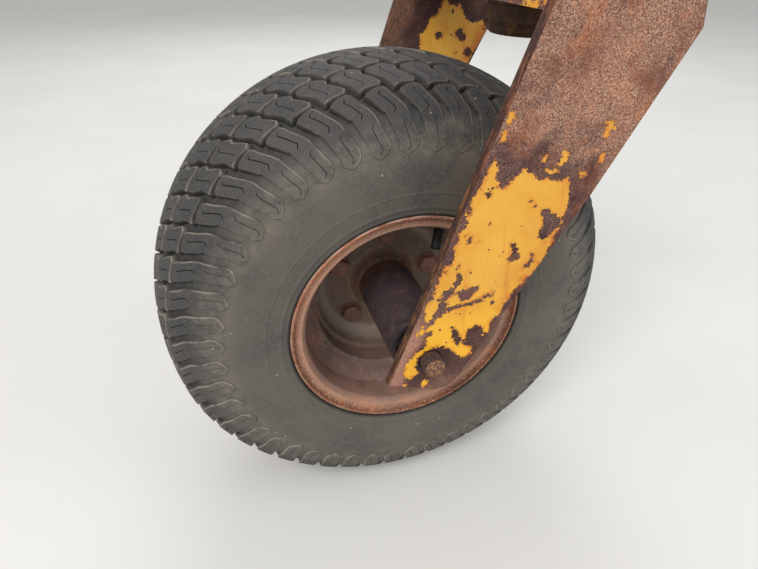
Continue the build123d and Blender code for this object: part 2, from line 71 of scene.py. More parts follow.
class Value:
    """A shader node's output. A sum, a step or a coat on it adds the next node."""

    def __init__(self, shader, socket):
        self.shader = shader
        self.socket = socket

    def __add__(self, other):
        return self.shader.math("ADD", self, other)

    def __sub__(self, other):
        return self.shader.math("SUBTRACT", self, other)

    def __rsub__(self, other):
        return self.shader.math("SUBTRACT", other, self)

    def __mul__(self, other):
        return self.shader.math("MULTIPLY", self, other)

    def __abs__(self):
        return self.shader.math("ABSOLUTE", self)

    def step(self, low, high):
        """0 below low, 1 above high, and smooth between them."""
        return self.shader.node("MapRange", "Result", {"Value": self, "From Min": low, "From Max": high},
                                interpolation_type="SMOOTHSTEP")

    def fall(self, low, high):
        """1 below low, 0 above high, and smooth between them."""
        return 1.0 - self.step(low, high)

    def coat(self, mask, colour, kind="MIX"):
        """This colour under another one, which shows where the mask is 1."""
        return self.shader.mix(mask, self, colour, kind)


class Shader:
    """A node material, with short calls for the nodes that it uses most."""

    def __init__(self, name):
        self.material = bpy.data.materials.new(name)
        self.material.use_nodes = True
        self.tree = self.material.node_tree
        self.tree.nodes.clear()
        out = self.tree.nodes.new("ShaderNodeOutputMaterial")
        self.bsdf = self.tree.nodes.new("ShaderNodeBsdfPrincipled")
        self.tree.links.new(self.bsdf.outputs[0], out.inputs[0])
        self.place = self.node("TexCoord", "Object", {})

    def put(self, socket, value):
        if isinstance(value, Value):
            self.tree.links.new(value.socket, socket)
        else:
            socket.default_value = value

    def node(self, kind, output, inputs, **settings):
        """One output of a new node, whose inputs are numbers, colours or other nodes' outputs."""
        n = self.tree.nodes.new("ShaderNode" + kind)
        for key, value in settings.items():
            setattr(n, key, value)
        for key, value in inputs.items():
            self.put(n.inputs[key], value)
        return Value(self, n.outputs[output])

    def math(self, kind, *values, clamp=False):
        return self.node("Math", 0, dict(enumerate(values)), operation=kind, use_clamp=clamp)

    def mix(self, fac, a, b, kind="MIX"):
        return self.node("Mix", 2, {0: fac, 6: a, 7: b}, data_type="RGBA", blend_type=kind)

    def noise(self, scale, detail=4.0, rough=0.55, at=None, warp=0.0):
        return self.node("TexNoise", "Fac", {"Vector": at or self.place, "Scale": scale, "Detail": detail,
                                             "Roughness": rough, "Distortion": warp})

    def streaks(self, scale, detail, rough, lean=0.0):
        """Noise with its own scale along each axis, leaning about the axle's direction."""
        at = self.node("Mapping", 0, {"Vector": self.place, "Scale": scale, "Rotation": (0, lean, 0)})
        return self.noise(1.0, detail, rough, at=at)

    def spots(self, scale, share, size):
        """Round spots in a share of the cells, 1 at their middles."""
        middle = self.node("TexVoronoi", "Distance", {"Vector": self.place, "Scale": scale})
        cell = Value(self, middle.socket.node.outputs["Color"])
        chosen = self.node("SeparateColor", 0, {0: cell}).step(1.0 - share, 1.0 - 0.98 * share)
        return chosen * middle.fall(0.75 * size, size)

    def ramp(self, fac, stops):
        out = self.node("ValToRGB", 0, {0: fac})
        band = out.socket.node.color_ramp
        while len(band.elements) > 1:
            band.elements.remove(band.elements[-1])
        band.elements[0].position = stops[0][0]
        band.elements[0].color = stops[0][1]
        for place, colour in stops[1:]:
            band.elements.new(place).color = colour
        return out

    def mottled(self, scale, detail, low, high):
        """A roughness that wanders between two values."""
        return self.ramp(self.noise(scale, detail), [(0.3, grey(low)), (0.7, grey(high))])

    def attribute(self, name):
        return self.node("Attribute", "Fac", {}, attribute_name=name)

    def bump(self, height, distance, strength=1.0, normal=None):
        inputs = {"Strength": strength, "Distance": distance, "Height": height}
        if normal is not None:
            inputs["Normal"] = normal
        return self.node("Bump", 0, inputs)

    def radius(self):
        """Distance in metres from the axle's line."""
        apart = self.node("VectorMath", 0, {0: self.place, 1: WHEEL}, operation="SUBTRACT")
        flat = self.node("VectorMath", 0, {0: apart, 1: (1.0, 0.0, 1.0)}, operation="MULTIPLY")
        return self.node("VectorMath", "Value", {0: flat}, operation="LENGTH")

    def along(self, axis):
        return self.node("SeparateXYZ", axis, {0: self.place})

    def over_axle(self):
        """Height in metres above the axle."""
        return self.along(2) - WHEEL.z

    def finish(self, colour, rough, normal=None, metallic=0.0, specular=0.5):
        self.put(self.bsdf.inputs["Base Color"], colour)
        self.put(self.bsdf.inputs["Roughness"], rough)
        self.put(self.bsdf.inputs["Metallic"], metallic)
        self.bsdf.inputs["Specular IOR Level"].default_value = specular
        if normal is not None:
            self.put(self.bsdf.inputs["Normal"], normal)
        return self.material


# Materials


def rust_colour(s, dark, brown, orange, pale):
    """Layered rust: broad clouds, orange bloom, pale specks and dark pits. Gives its colour and height."""
    broad = s.noise(14, 5, 0.6, warp=0.6)
    cloud = s.noise(60, 6, 0.65, warp=0.3)
    grain = s.noise(420, 3, 0.7)
    colour = s.mix(broad.step(0.38, 0.64), dark, brown)
    colour = colour.coat(cloud.step(0.5, 0.72) * 0.75, orange)
    colour = colour.coat(grain.step(0.55, 0.7) * cloud.step(0.32, 0.6) * 0.6, pale)
    pits = s.noise(260, 4, 0.7).step(0.56, 0.68)
    colour = colour.coat(pits * 0.6, dark)
    return colour, grain * 0.5 + cloud * 0.5 - pits * 0.45


def make_plain_rust(name, dark, brown, orange, pale):
    s = Shader(name)
    colour, height = rust_colour(s, dark, brown, orange, pale)
    return s.finish(colour, s.mottled(90, 3, 0.68, 0.86), s.bump(height, 0.0005), specular=0.3)


def speckled_rust(s):
    """Mill scale rusted in a fine pale speckle over brown, as on the arms' flat faces."""
    broad = s.noise(8, 4, 0.55, warp=0.6)
    cloud = s.noise(34, 6, 0.66, warp=0.4)
    fine = s.noise(900, 6, 0.85)
    colour = s.mix(broad.step(0.36, 0.62), srgb(97, 65, 58), srgb(140, 92, 72))
    colour = colour.coat(cloud.step(0.47, 0.64) * 0.68, srgb(174, 104, 66))
    pale = fine.step(0.43, 0.6) * s.noise(26, 5, 0.66).step(0.32, 0.56)
    colour = colour.coat(pale * 0.82, srgb(228, 184, 156))
    dark = s.noise(560, 6, 0.85).step(0.5, 0.62)
    colour = colour.coat(dark * 0.64, srgb(96, 58, 47))
    stains = s.noise(15, 6, 0.7, warp=0.8).step(0.57, 0.7)
    colour = colour.coat(stains * 0.45, srgb(80, 56, 56))
    return colour, fine * 0.6 + cloud * 0.4 - dark * 0.4


def mark_arm(s, rust):
    """The arm's own marks in its rust, painted shade on its inner faces, and a salmon strip of rust and painted
    light, which the dark rust and painted shade spare.
    """
    height = s.over_axle()
    rear = s.attribute("rear")
    # A salmon strip along the low rear edge: pale rust, painted lighter as if sunlit.
    salmon = rear.fall(8.0, 17.0) * (height.fall(0.02, 0.075) * 0.62)
    rust = rust.coat(salmon, srgb(184, 132, 116))
    ring = s.radius().fall(0.016, 0.024) * 0.6
    rust = rust.coat(ring, srgb(84, 58, 54))
    golden = s.mix(height.fall(0.12, 0.19), srgb(134, 84, 60), srgb(138, 98, 58))
    cut = s.mix(s.streaks((190, 420, 24), 4, 0.6, -0.35).step(0.46, 0.62), srgb(78, 50, 44), golden)
    cut = cut.coat(s.noise(300, 4, 0.6).step(0.5, 0.64) * 0.6, srgb(62, 40, 38))
    rust = rust.coat(s.attribute("side"), cut)
    weep = s.streaks((120, 120, 30), 5, 0.66, -0.5).step(0.48, 0.62) * s.attribute("front").fall(3.0, 20.0)
    rust = rust.coat(weep * height.step(0.02, 0.08) * 0.5, srgb(150, 84, 46))
    toe = height.fall(0.0, 0.05) * rear.step(14.0, 22.0)
    rust = rust.coat(toe * 0.6, srgb(84, 60, 56))
    specks = s.noise(380, 4, 0.7).step(0.56, 0.64) * toe
    rust = rust.coat(specks * 0.7, srgb(160, 100, 66))
    # Painted shade: the inner faces, between the arms, are darkened.
    return rust.coat(s.attribute("inward") * 0.55, srgb(66, 48, 46)), salmon


def make_fork_paint(name, for_arm):
    """Yellow paint with a raised, ragged edge over speckled rust. An arm's mesh says where it is."""
    s = Shader(name)
    rust, height = speckled_rust(s)
    if for_arm:
        depth, zone = s.attribute("paint"), s.attribute("zone")
        rust, salmon = mark_arm(s, rust)
    else:
        depth = zone = (s.noise(13, 4, 0.6, warp=0.8) - 0.54) * 60.0
    edge = depth + (s.noise(110, 5, 0.66, warp=0.3) - 0.5) * 10.5 + (s.noise(360, 5, 0.72) - 0.5) * 11.0
    for scale, share, size in ((150, 0.06, 0.19), (300, 0.03, 0.26), (52, 0.03, 0.1)):
        edge = edge - s.spots(scale, share, size) * 30.0
    mask = edge.step(-0.08, 0.08)
    yellow = s.mix(s.noise(20, 4, 0.55).step(0.35, 0.68), srgb(229, 172, 64), srgb(218, 153, 47))
    yellow = yellow.coat(s.noise(75, 5, 0.65).step(0.5, 0.75) * 0.2, srgb(228, 186, 110))
    if for_arm:
        weep = s.attribute("front").fall(3.0, 21.0) * s.noise(70, 6, 0.72).step(0.45, 0.57)
        yellow = yellow.coat(weep * 0.85, srgb(200, 106, 32))
        yellow = yellow.coat(s.over_axle().fall(0.01, 0.07) * 0.75, srgb(244, 183, 32))
    stain = edge.fall(0.2, 3.6) * s.noise(110, 6, 0.7).step(0.46, 0.58)
    yellow = yellow.coat(stain * 0.8, srgb(204, 116, 40))
    yellow = yellow.coat(edge.fall(0.1, 0.9) * 0.45, srgb(172, 104, 46))
    runs = s.streaks((130, 130, 12), 3, 0.5, -0.35).step(0.57, 0.74)
    yellow = yellow.coat(runs * 0.45, srgb(208, 124, 44))
    # Darker rust about the paint, with a cool tint: partly the rust's own colour, partly painted shade.
    shaded = ((s.noise(42, 6, 0.7) - 0.5) * 60.0 + zone).step(-30.0, -6.0) * 0.92
    if for_arm:
        shaded = shaded * (1.0 - s.math("MULTIPLY", salmon, 1.5, clamp=True))
    rust = rust.coat(shaded, (0.4, 0.35, 0.43, 1.0), "MULTIPLY")
    rust = rust.coat(abs(edge).fall(0.0, 1.6) * 0.5, srgb(66, 42, 38))
    rough = s.mix(mask, grey(0.8), grey(0.5)) + (s.noise(60, 3) - 0.5) * 0.2
    normal = s.bump(mask, 0.0003, normal=s.bump(height * (1.0 - mask), 0.0006))
    normal = s.bump(s.noise(45, 3), 0.0004, 0.35, normal)
    return s.finish(rust.coat(mask, yellow), rough, normal, specular=0.35)


def make_greasy_rust(name):
    """Golden-brown boss: old grease and dirt over rust, with drips and faint turning rings."""
    s = Shader(name)
    dirt = srgb(58, 42, 34)
    rust, height = rust_colour(s, srgb(82, 58, 42), srgb(122, 88, 56), srgb(152, 108, 60),
                               srgb(158, 134, 104))
    rings = s.streaks((2, 2, 700), 2, 0.5)
    drips = s.streaks((120, 120, 22), 5, 0.66).step(0.48, 0.64)
    colour = rust.coat(drips * 0.6, dirt).coat(rings.step(0.46, 0.6) * 0.14, dirt)
    rough = s.ramp(s.noise(60, 4), [(0.35, grey(0.5)), (0.65, grey(0.76))])
    return s.finish(colour, rough, s.bump(rings, 0.0003, 0.4, s.bump(height, 0.0005)), specular=0.35)


def make_frame_paint():
    """Blue-grey paint, chalky and chipped, with rust at the chips."""
    s = Shader("frame_paint")
    rust, height = rust_colour(s, srgb(66, 44, 40), srgb(108, 68, 50), srgb(150, 90, 58), srgb(170, 130, 110))
    to_side = PLATE_HALF_WIDTH - abs(s.along(1))
    to_end = PLATE_HALF_HEIGHT - abs(s.along(2))
    rim = s.math("MINIMUM", to_side, to_end).fall(0.0, 0.005)
    chips = rim * 0.15 + s.noise(30, 7, 0.68, warp=0.4)
    mask = (chips + (s.noise(420, 4, 0.66) - 0.5) * 0.12).step(0.6, 0.612)
    paint = s.mix(s.noise(22, 4).step(0.35, 0.7), srgb(66, 76, 88), srgb(88, 96, 104))
    paint = paint.coat(s.noise(110, 5, 0.7).step(0.5, 0.72) * 0.5, srgb(132, 132, 128))
    stain = chips.step(0.52, 0.62) * s.streaks((110, 110, 14), 4, 0.6).step(0.45, 0.62)
    paint = paint.coat(stain * 0.55, srgb(116, 82, 62))
    normal = s.bump(1.0 - mask, 0.0003, normal=s.bump(height * mask, 0.0006))
    return s.finish(paint.coat(mask, rust), s.mix(mask, grey(0.55), grey(0.82)), normal, specular=0.35)


def make_tyre_rubber():
    """Dusty black rubber: warm dust on the side, tan dust below the lugs, painted shade over the tread and in its
    grooves, and pale worn edges on the tread with a painted highlight.
    """
    s = Shader("tyre_rubber")
    radius = s.radius()
    fine = s.noise(190, 5, 0.7)
    grit = s.noise(700, 3, 0.6)
    colour = s.mix(s.noise(8, 4, 0.6, warp=0.5).step(0.35, 0.68), srgb(72, 71, 70), srgb(88, 84, 80))
    colour = colour.coat(fine.step(0.45, 0.72) * 0.4, srgb(112, 105, 96))
    colour = colour.coat(grit.step(0.52, 0.68) * 0.3, srgb(128, 120, 108))
    # Painted shade: the tread, from about 176 mm out, is darkened and cooled as if in shade.
    colour = colour.coat(radius.step(0.176, 0.198), (0.68, 0.7, 0.75, 1.0), "MULTIPLY")
    dusty = radius.fall(0.166, 0.186) * s.noise(20, 5, 0.6).step(0.34, 0.66)
    colour = colour.coat(dusty * 0.6, srgb(104, 98, 88))
    band = radius.step(0.158, 0.172) * radius.fall(0.188, 0.2)
    colour = colour.coat(band * s.noise(70, 6, 0.7).step(0.36, 0.66) * 0.4, srgb(132, 125, 112))
    # Pale worn edges, brighter on the edges that face one way round the tyre: real wear with a painted highlight.
    worn = s.math("POWER", s.attribute("wear_and_highlight"), 2.5) * s.noise(70, 5, 0.6).step(0.3, 0.62)
    colour = colour.coat(worn * 0.8, srgb(152, 145, 133))
    # Painted shade: the 'low' attribute darkens the groove floors, sipes and the feet of block walls; some dust
    # sits there too.
    deep = s.attribute("low")
    colour = colour.coat(deep * 0.62, srgb(46, 44, 43))
    colour = colour.coat(deep * s.noise(60, 5, 0.65).step(0.5, 0.66) * 0.35, srgb(118, 106, 88))
    # Painted shade: a dark ring on the rubber where it meets the rim's lip.
    colour = colour.coat(radius.fall(0.1145, 0.1185), srgb(40, 37, 36))
    colour = colour.coat(s.spots(120, 0.05, 0.12) * 0.7, srgb(176, 168, 150))
    normal = s.bump(grit, 0.0002, 0.5, s.bump(fine, 0.00028, 0.7))
    normal = s.bump(s.streaks((60, 500, 60), 4, 0.6), 0.0003, 0.3, normal)
    return s.finish(colour, s.mottled(70, 3, 0.66, 0.84), normal, specular=0.35)


def make_rim_rust():
    """Rim and disc: dusty grey-brown dish, darker well, a salmon seat painted lighter as if lit, and a worn orange
    lip.
    """
    s = Shader("rim_rust")
    radius = s.radius()
    place = radius + (s.noise(40, 4, 0.6) - 0.5) * 0.005
    # Painted light: the seat's band, from about 102 to 107 mm, is salmon rust painted lighter as if sunlit.
    bands = s.ramp(s.math("DIVIDE", place, 0.13), [
        (0.22, srgb(104, 88, 78)), (0.33, srgb(114, 101, 89)), (0.445, srgb(112, 100, 86)),
        (0.475, srgb(120, 110, 99)), (0.5, srgb(146, 138, 128)), (0.565, srgb(142, 132, 122)),
        (0.595, srgb(112, 98, 90)), (0.66, srgb(108, 93, 88)), (0.74, srgb(128, 106, 97)),
        (0.785, srgb(200, 160, 138)), (0.82, srgb(196, 148, 124)), (0.845, srgb(146, 94, 74)),
        (0.868, srgb(196, 130, 98))])
    rust, height = rust_colour(s, srgb(76, 48, 40), srgb(132, 80, 58), srgb(186, 108, 66),
                               srgb(206, 166, 142))
    strength = radius.step(0.104, 0.11) * 0.22 + (radius.step(0.062, 0.09) * 0.26 + 0.16)
    colour = bands.coat(strength, rust)
    bloom = radius.fall(0.03, 0.05) * s.noise(60, 5, 0.65).step(0.44, 0.62)
    colour = colour.coat(bloom * 0.42, srgb(136, 84, 48))
    colour = colour.coat(s.noise(90, 5, 0.7).step(0.5, 0.72) * 0.42, srgb(150, 137, 122))
    ring = place.step(0.0345, 0.037) * place.fall(0.0385, 0.042) * s.noise(120, 5, 0.66).step(0.36, 0.56)
    colour = colour.coat(ring * 0.32, srgb(158, 140, 122))
    neck = radius.fall(0.0297, 0.0308) * s.noise(90, 5, 0.66).step(0.4, 0.56)
    colour = colour.coat(neck * 0.5, srgb(150, 134, 118))
    grit = s.noise(520, 4, 0.72).step(0.52, 0.62) * radius.step(0.1, 0.108)
    colour = colour.coat(grit * 0.5, srgb(226, 176, 136))
    worn = radius.step(0.1127, 0.1135) * s.noise(50, 4, 0.6).step(0.38, 0.6)
    colour = colour.coat(worn * 0.7, srgb(214, 186, 170))
    return s.finish(colour, s.mottled(80, 3, 0.58, 0.82), s.bump(height, 0.00045), specular=0.35)


def make_hub_rust():
    """Hub tube: smooth dark purple-brown, with orange rust where it meets the disc."""
    s = Shader("hub_rust")
    rust, height = rust_colour(s, srgb(50, 41, 45), srgb(66, 53, 57), srgb(86, 64, 61), srgb(110, 96, 96))
    root = abs(s.along(1)) + (s.noise(45, 5, 0.65) - 0.5) * 0.06
    colour = rust.coat(root.fall(0.008, 0.04) * 0.7, srgb(132, 82, 48))
    colour = colour.coat(s.noise(80, 5, 0.7).step(0.5, 0.7) * 0.25, srgb(116, 100, 92))
    return s.finish(colour, s.mottled(70, 3, 0.5, 0.74), s.bump(height, 0.0003), specular=0.4)


def make_bolt_steel(name):
    """Axle bolt: dark brown shank; its sawn end is specked bronze and gold."""
    s = Shader(name)
    rust, height = rust_colour(s, srgb(56, 38, 38), srgb(86, 60, 54), srgb(130, 82, 56), srgb(140, 114, 100))
    gold = s.mix(s.noise(900, 3, 0.6).step(0.46, 0.6), srgb(100, 70, 58), srgb(184, 138, 84))
    gold = gold.coat(s.noise(420, 4, 0.66).step(0.47, 0.58) * 0.85, srgb(72, 48, 44))
    colour = rust.coat(s.along(1).fall(BOLT_END, BOLT_END + 0.0012), gold)
    return s.finish(colour, s.mottled(200, 3, 0.5, 0.76), s.bump(height, 0.0004), specular=0.45)


def make_steel(name, tint, rough, patina):
    """Turned metal with fine rings, a film of grease, and its patina in patches."""
    s = Shader(name)
    greased = tuple(0.6 * v for v in tint[:3]) + (1.0,)
    metal = s.mix(s.noise(70, 4, 0.6).step(0.45, 0.7), tint, greased)
    tarnish, height = rust_colour(s, *patina)
    patches = s.noise(55, 6, 0.68, warp=0.5).step(0.44, 0.56) * 0.92
    shine = s.mottled(120, 4, rough - 0.05, rough + 0.15).coat(patches, grey(0.78))
    rings = s.streaks((900, 900, 900), 3, 0.5)
    normal = s.bump(rings, 0.00008, normal=s.bump(height * patches, 0.0003))
    return s.finish(metal.coat(patches, tarnish), shine, normal, metallic=0.92 - patches)


def make_seal_rubber():
    s = Shader("seal_rubber")
    colour = s.mix(s.noise(90, 4, 0.6).step(0.45, 0.75), srgb(26, 25, 25), srgb(58, 54, 50))
    return s.finish(colour, s.mottled(300, 3, 0.5, 0.72), s.bump(s.noise(300, 3), 0.0002))


ARM_PAINT = make_fork_paint("arm_paint", True)
FINISH = {
    "fork_paint": make_fork_paint("fork_paint", False),
    "frame_paint": make_frame_paint(),
    "rusty_steel": make_plain_rust("rusty_steel", srgb(58, 40, 38), srgb(88, 60, 52), srgb(142, 84, 54),
                                   srgb(150, 120, 104)),
    "bright_steel": make_steel("bright_steel", (0.3, 0.28, 0.26, 1.0), 0.42,
                               (srgb(62, 46, 42), srgb(94, 66, 54), srgb(136, 86, 58), srgb(146, 122, 108))),
    "rim_rust": make_rim_rust(),
    "bronze": make_steel("bronze", (0.42, 0.28, 0.12, 1.0), 0.45,
                         (srgb(58, 46, 36), srgb(86, 66, 44), srgb(108, 84, 54), srgb(130, 110, 80))),
    "tyre_rubber": make_tyre_rubber(),
    "seal_rubber": make_seal_rubber(),
}
DUSTY_STEEL = make_plain_rust("dusty_steel", srgb(108, 80, 70), srgb(140, 104, 90), srgb(160, 108, 84),
                              srgb(168, 148, 132))
SPECIAL = {"hub_tube": make_hub_rust(), "crown_boss": make_greasy_rust("greasy_rust")}
for part in RECORD["subparts"]:
    node = NODES[part["node"]]
    node.data.materials.clear()
    node.data.materials.append(SPECIAL.get(part["node"], FINISH[part["material_slot"]]))

# Mesh helpers


def added(name, data):
    """A new object of the scene."""
    thing = bpy.data.objects.new(name, data)
    bpy.context.scene.collection.objects.link(thing)
    return thing


def make_piece(name, verts, faces, body, slot, material, sharp, replaces=(), values=None):
    """A mesh from points in millimetres about the wheel's centre, riding on a body."""
    mesh = bpy.data.meshes.new(name)
    placed = np.asarray(verts, float) * MM + np.array(WHEEL)
    mesh.from_pydata([tuple(p) for p in placed], [], [tuple(int(i) for i in f) for f in faces])
    mesh.validate()
    mesh.shade_smooth()
    mesh.set_sharp_from_angle(angle=math.radians(sharp))
    for key, numbers in (values or {}).items():
        attribute = mesh.attributes.new(key, "FLOAT", "POINT")
        attribute.data.foreach_set("value", np.asarray(numbers, np.float32))
    mesh.materials.append(material)
    piece = added(name, mesh)
    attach(piece, body)
    if replaces:
        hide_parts(*replaces)


def revolved(section, count):
    """Points and quads of a closed (radius, place) section turned about the axle."""
    r, y = np.asarray(section, float).T
    turn = np.linspace(0, 2 * math.pi, count, endpoint=False)
    across, up = np.outer(np.cos(turn), r), np.outer(np.sin(turn), r)
    verts = np.stack([across, np.outer(np.ones(count), y), up], -1)
    n, total = len(section), len(section) * count
    faces = []
    for i in range(count):
        for j in range(n):
            a, b = i * n + j, i * n + (j + 1) % n
            faces.append((a, b, (b + n) % total, (a + n) % total))
    return verts.reshape(-1, 3), faces


def in_steps(ends, spacing):
    """Points from each (start, end) pair's start, no further apart than the spacing."""
    out = []
    for a, b in ends:
        parts = max(1, int(math.ceil(np.linalg.norm(b - a) / spacing)))
        out += [a + (b - a) * i / parts for i in range(parts)]
    return out


def divided(line, spacing):
    line = [np.array(p, float) for p in line]
    return np.array(in_steps(zip(line, line[1:]), spacing) + [line[-1]])


def rounded(points, radius, spacing):
    """A closed outline with its corners rounded and its long edges divided."""
    points = [np.array(p, float) for p in points]
    cut = []
    for before, here, after in zip(points[-1:] + points[:-1], points, points[1:] + points[:1]):
        back, ahead = before - here, after - here
        a = here + back / np.linalg.norm(back) * min(radius, 0.42 * np.linalg.norm(back))
        b = here + ahead / np.linalg.norm(ahead) * min(radius, 0.42 * np.linalg.norm(ahead))
        cut += [a, 0.25 * a + 0.5 * here + 0.25 * b, b]
    return np.array(in_steps(zip(cut, cut[1:] + cut[:1]), spacing))


def outward(outline):
    """Unit outward normals at the points of a closed, anticlockwise outline."""
    ahead = np.roll(outline, -1, 0) - outline
    ahead /= np.linalg.norm(ahead, axis=1)[:, None]
    edge = np.stack([ahead[:, 1], -ahead[:, 0]], 1)
    both = edge + np.roll(edge, 1, 0)
    return both / np.maximum(np.linalg.norm(both, axis=1), 1e-6)[:, None]


def signed_area(outline):
    x, y = outline.T
    return 0.5 * float(np.sum(x * np.roll(y, -1) - np.roll(x, -1) * y))


def inside(points, outline):
    """Which points are inside a closed outline."""
    hit = np.zeros(len(points), bool)
    for (x0, y0), (x1, y1) in zip(outline, np.roll(outline, -1, 0)):
        crosses = (y0 > points[:, 1]) != (y1 > points[:, 1])
        with np.errstate(divide="ignore", invalid="ignore"):
            at = x0 + (points[:, 1] - y0) * (x1 - x0) / (y1 - y0)
        hit ^= crosses & (points[:, 0] < at)
    return hit


def to_outline(points, outline, closed=True):
    """Distance of each point from an outline's nearest edge."""
    best = np.full(len(points), np.inf)
    for a, b in zip(outline, np.roll(outline, -1, 0) if closed else outline[1:]):
        run = b - a
        t = np.clip((points - a) @ run / max(run @ run, 1e-9), 0, 1)
        best = np.minimum(best, np.linalg.norm(points - a - t[:, None] * run, axis=1))
    return best


def depth_in(points, outline):
    """Signed distance to an outline, above nought inside it."""
    outline = np.asarray(outline, float)
    return np.where(inside(points, outline), 1.0, -1.0) * to_outline(points, outline)


def deepest(points, outlines):
    return np.max([depth_in(points, outline) for outline in outlines], 0)


def loop_edges(start, count):
    return [(start + i, start + (i + 1) % count) for i in range(count)]


def staggered(outline, across, up):
    """Points in staggered rows over an outline's box."""
    low, high = outline.min(0), outline.max(0)
    return np.array([(x + 0.5 * across * (k % 2), y) for k, y in enumerate(np.arange(low[1], high[1], up))
                     for x in np.arange(low[0], high[0], across)])


def meshed(points, edges, merge):
    """Triangles between points: the new points, faces, their origins, and where the old ones went."""
    verts, _, faces, origin, _, _ = delaunay_2d_cdt([Vector(p) for p in points], edges, [], 1, merge)
    where = {i: k for k, o in enumerate(origin) for i in o}
    return np.array([(v.x, v.y) for v in verts]), faces, origin, where


# Tyre

CROWN_R = 228.6
TREAD_HALF = 71.5
TREAD_DROP = 12.08
SHOULDER_CURVE = [(71.5, 216.52), (89.56, 204.76), (103.7, 190.0), (103.7, 150.0), (97.38, 116.74)]
PITCH = 7.5
PITCH_COUNT = 48
CASING_TURNS = 288
BLOCK_BEVEL = 0.45
BEVEL_DROP = 0.4
FOOT_SINK = 0.5
RIM_INSET = 1.5
GROOVE_AT = [0, 84, 90, 95, 100, 112, 126, 133, 146]
GROOVE_DEPTH = [6.0, 6.0, 5.2, 3.5, 2.3, 1.6, 1.3, 1.0, 0.0]
MOULD_LINES = ((136.0, 1.1, 0.55), (160.0, 1.4, 0.3), (122.5, 2.4, 0.7), (118.6, 1.6, -0.5))
BEAD = [(114.8, 96.4), (114.0, 94.6), (113.9, 92.6), (110.0, 88.5), (104.9, 88.5), (101.9, 83.6),
        (101.9, 69.6), (116.0, 69.6), (150.0, 95.5), (180.0, 89.5), (204.5, 68.0), (218.0, 0.0)]


def tyre_profile():
    """Places along the axle, radii and arc lengths of half the tyre's outside, from the crown."""
    flat = np.linspace(0, TREAD_HALF, 60)
    t = np.linspace(0, 1, 80)[1:, None]
    u = 1 - t
    weights = np.hstack([u ** 4, 4 * u ** 3 * t, 6 * u ** 2 * t ** 2, 4 * u * t ** 3, t ** 4])
    curve = weights @ np.array(SHOULDER_CURVE)
    place = np.concatenate([flat, curve[:, 0]])
    radius = np.concatenate([CROWN_R - TREAD_DROP * (flat / TREAD_HALF) ** 2, curve[:, 1]])
    arc = np.concatenate([[0], np.cumsum(np.hypot(np.diff(place), np.diff(radius)))])
    return place, radius, arc


PROFILE_Y, PROFILE_R, PROFILE_S = tyre_profile()
SLOPE_Y = np.gradient(PROFILE_Y, PROFILE_S)
SLOPE_R = np.gradient(PROFILE_R, PROFILE_S)


def on_profile(s, h):
    """(place, radius) at an arc length from the crown, below nought on the near side, and a height."""
    s, h = np.broadcast_arrays(np.asarray(s, float), np.asarray(h, float))
    lines = (PROFILE_Y, PROFILE_R, SLOPE_Y, SLOPE_R)
    y, r, dy, dr = (np.interp(np.abs(s), PROFILE_S, line) for line in lines)
    size = np.hypot(dy, dr)
    return np.where(s < 0, -1.0, 1.0) * (y - h * dr / size), r + h * dy / size


def on_tyre(angle, s, h):
    """Points on the tyre at an angle in degrees, an arc length and a height."""
    y, r = on_profile(s, h)
    a = np.radians(angle)
    return np.stack([r * np.cos(a), y, r * np.sin(a)], -1)


def groove_depth(s):
    """Depth of the grooves at an arc length from the crown."""
    return np.interp(np.abs(s), GROOVE_AT, GROOVE_DEPTH)


def make_casing():
    """The tyre under its lugs: grooves' floor, both sides with fine mould lines, beads and inside."""
    spans = ((0, 84, 14), (84, 100, 9), (100, 150, 16), (150, PROFILE_S[-1] - 0.5, 56))
    fine = np.unique(np.concatenate([np.linspace(*span) for span in spans]))
    height = -groove_depth(fine)
    radius = np.interp(fine, PROFILE_S, PROFILE_R)
    for line, width, rise in MOULD_LINES:
        height = height + rise * np.clip(1 - np.abs(radius - line) / width, 0, 1)
    near = [tuple(v) for v in np.stack(on_profile(-fine, height)[::-1], 1)]
    far = [(r, -y) for r, y in near]
    section = near[::-1] + far[1:] + BEAD + [(r, -y) for r, y in BEAD[:-1]][::-1]
    # Painted shade: the floor of the deep grooves, beyond 199 mm, is marked for darkening.
    low = [0.4 * float(r > 199.0 and not 204.4 < r < 204.6) for r, _ in section]
    verts, faces = revolved(section, CASING_TURNS)
    return verts, faces, {"low": np.tile(low, CASING_TURNS)}


def slot_loops(line, width):
    """The two sides of a narrow slot along a line, as one closed loop."""
    run = np.gradient(line, axis=0)
    run /= np.linalg.norm(run, axis=1)[:, None]
    across = np.stack([-run[:, 1], run[:, 0]], 1) * width / 2
    return np.vstack([line[:1], line[1:-1] + across[1:-1], line[-1:], (line[1:-1] - across[1:-1])[::-1]])


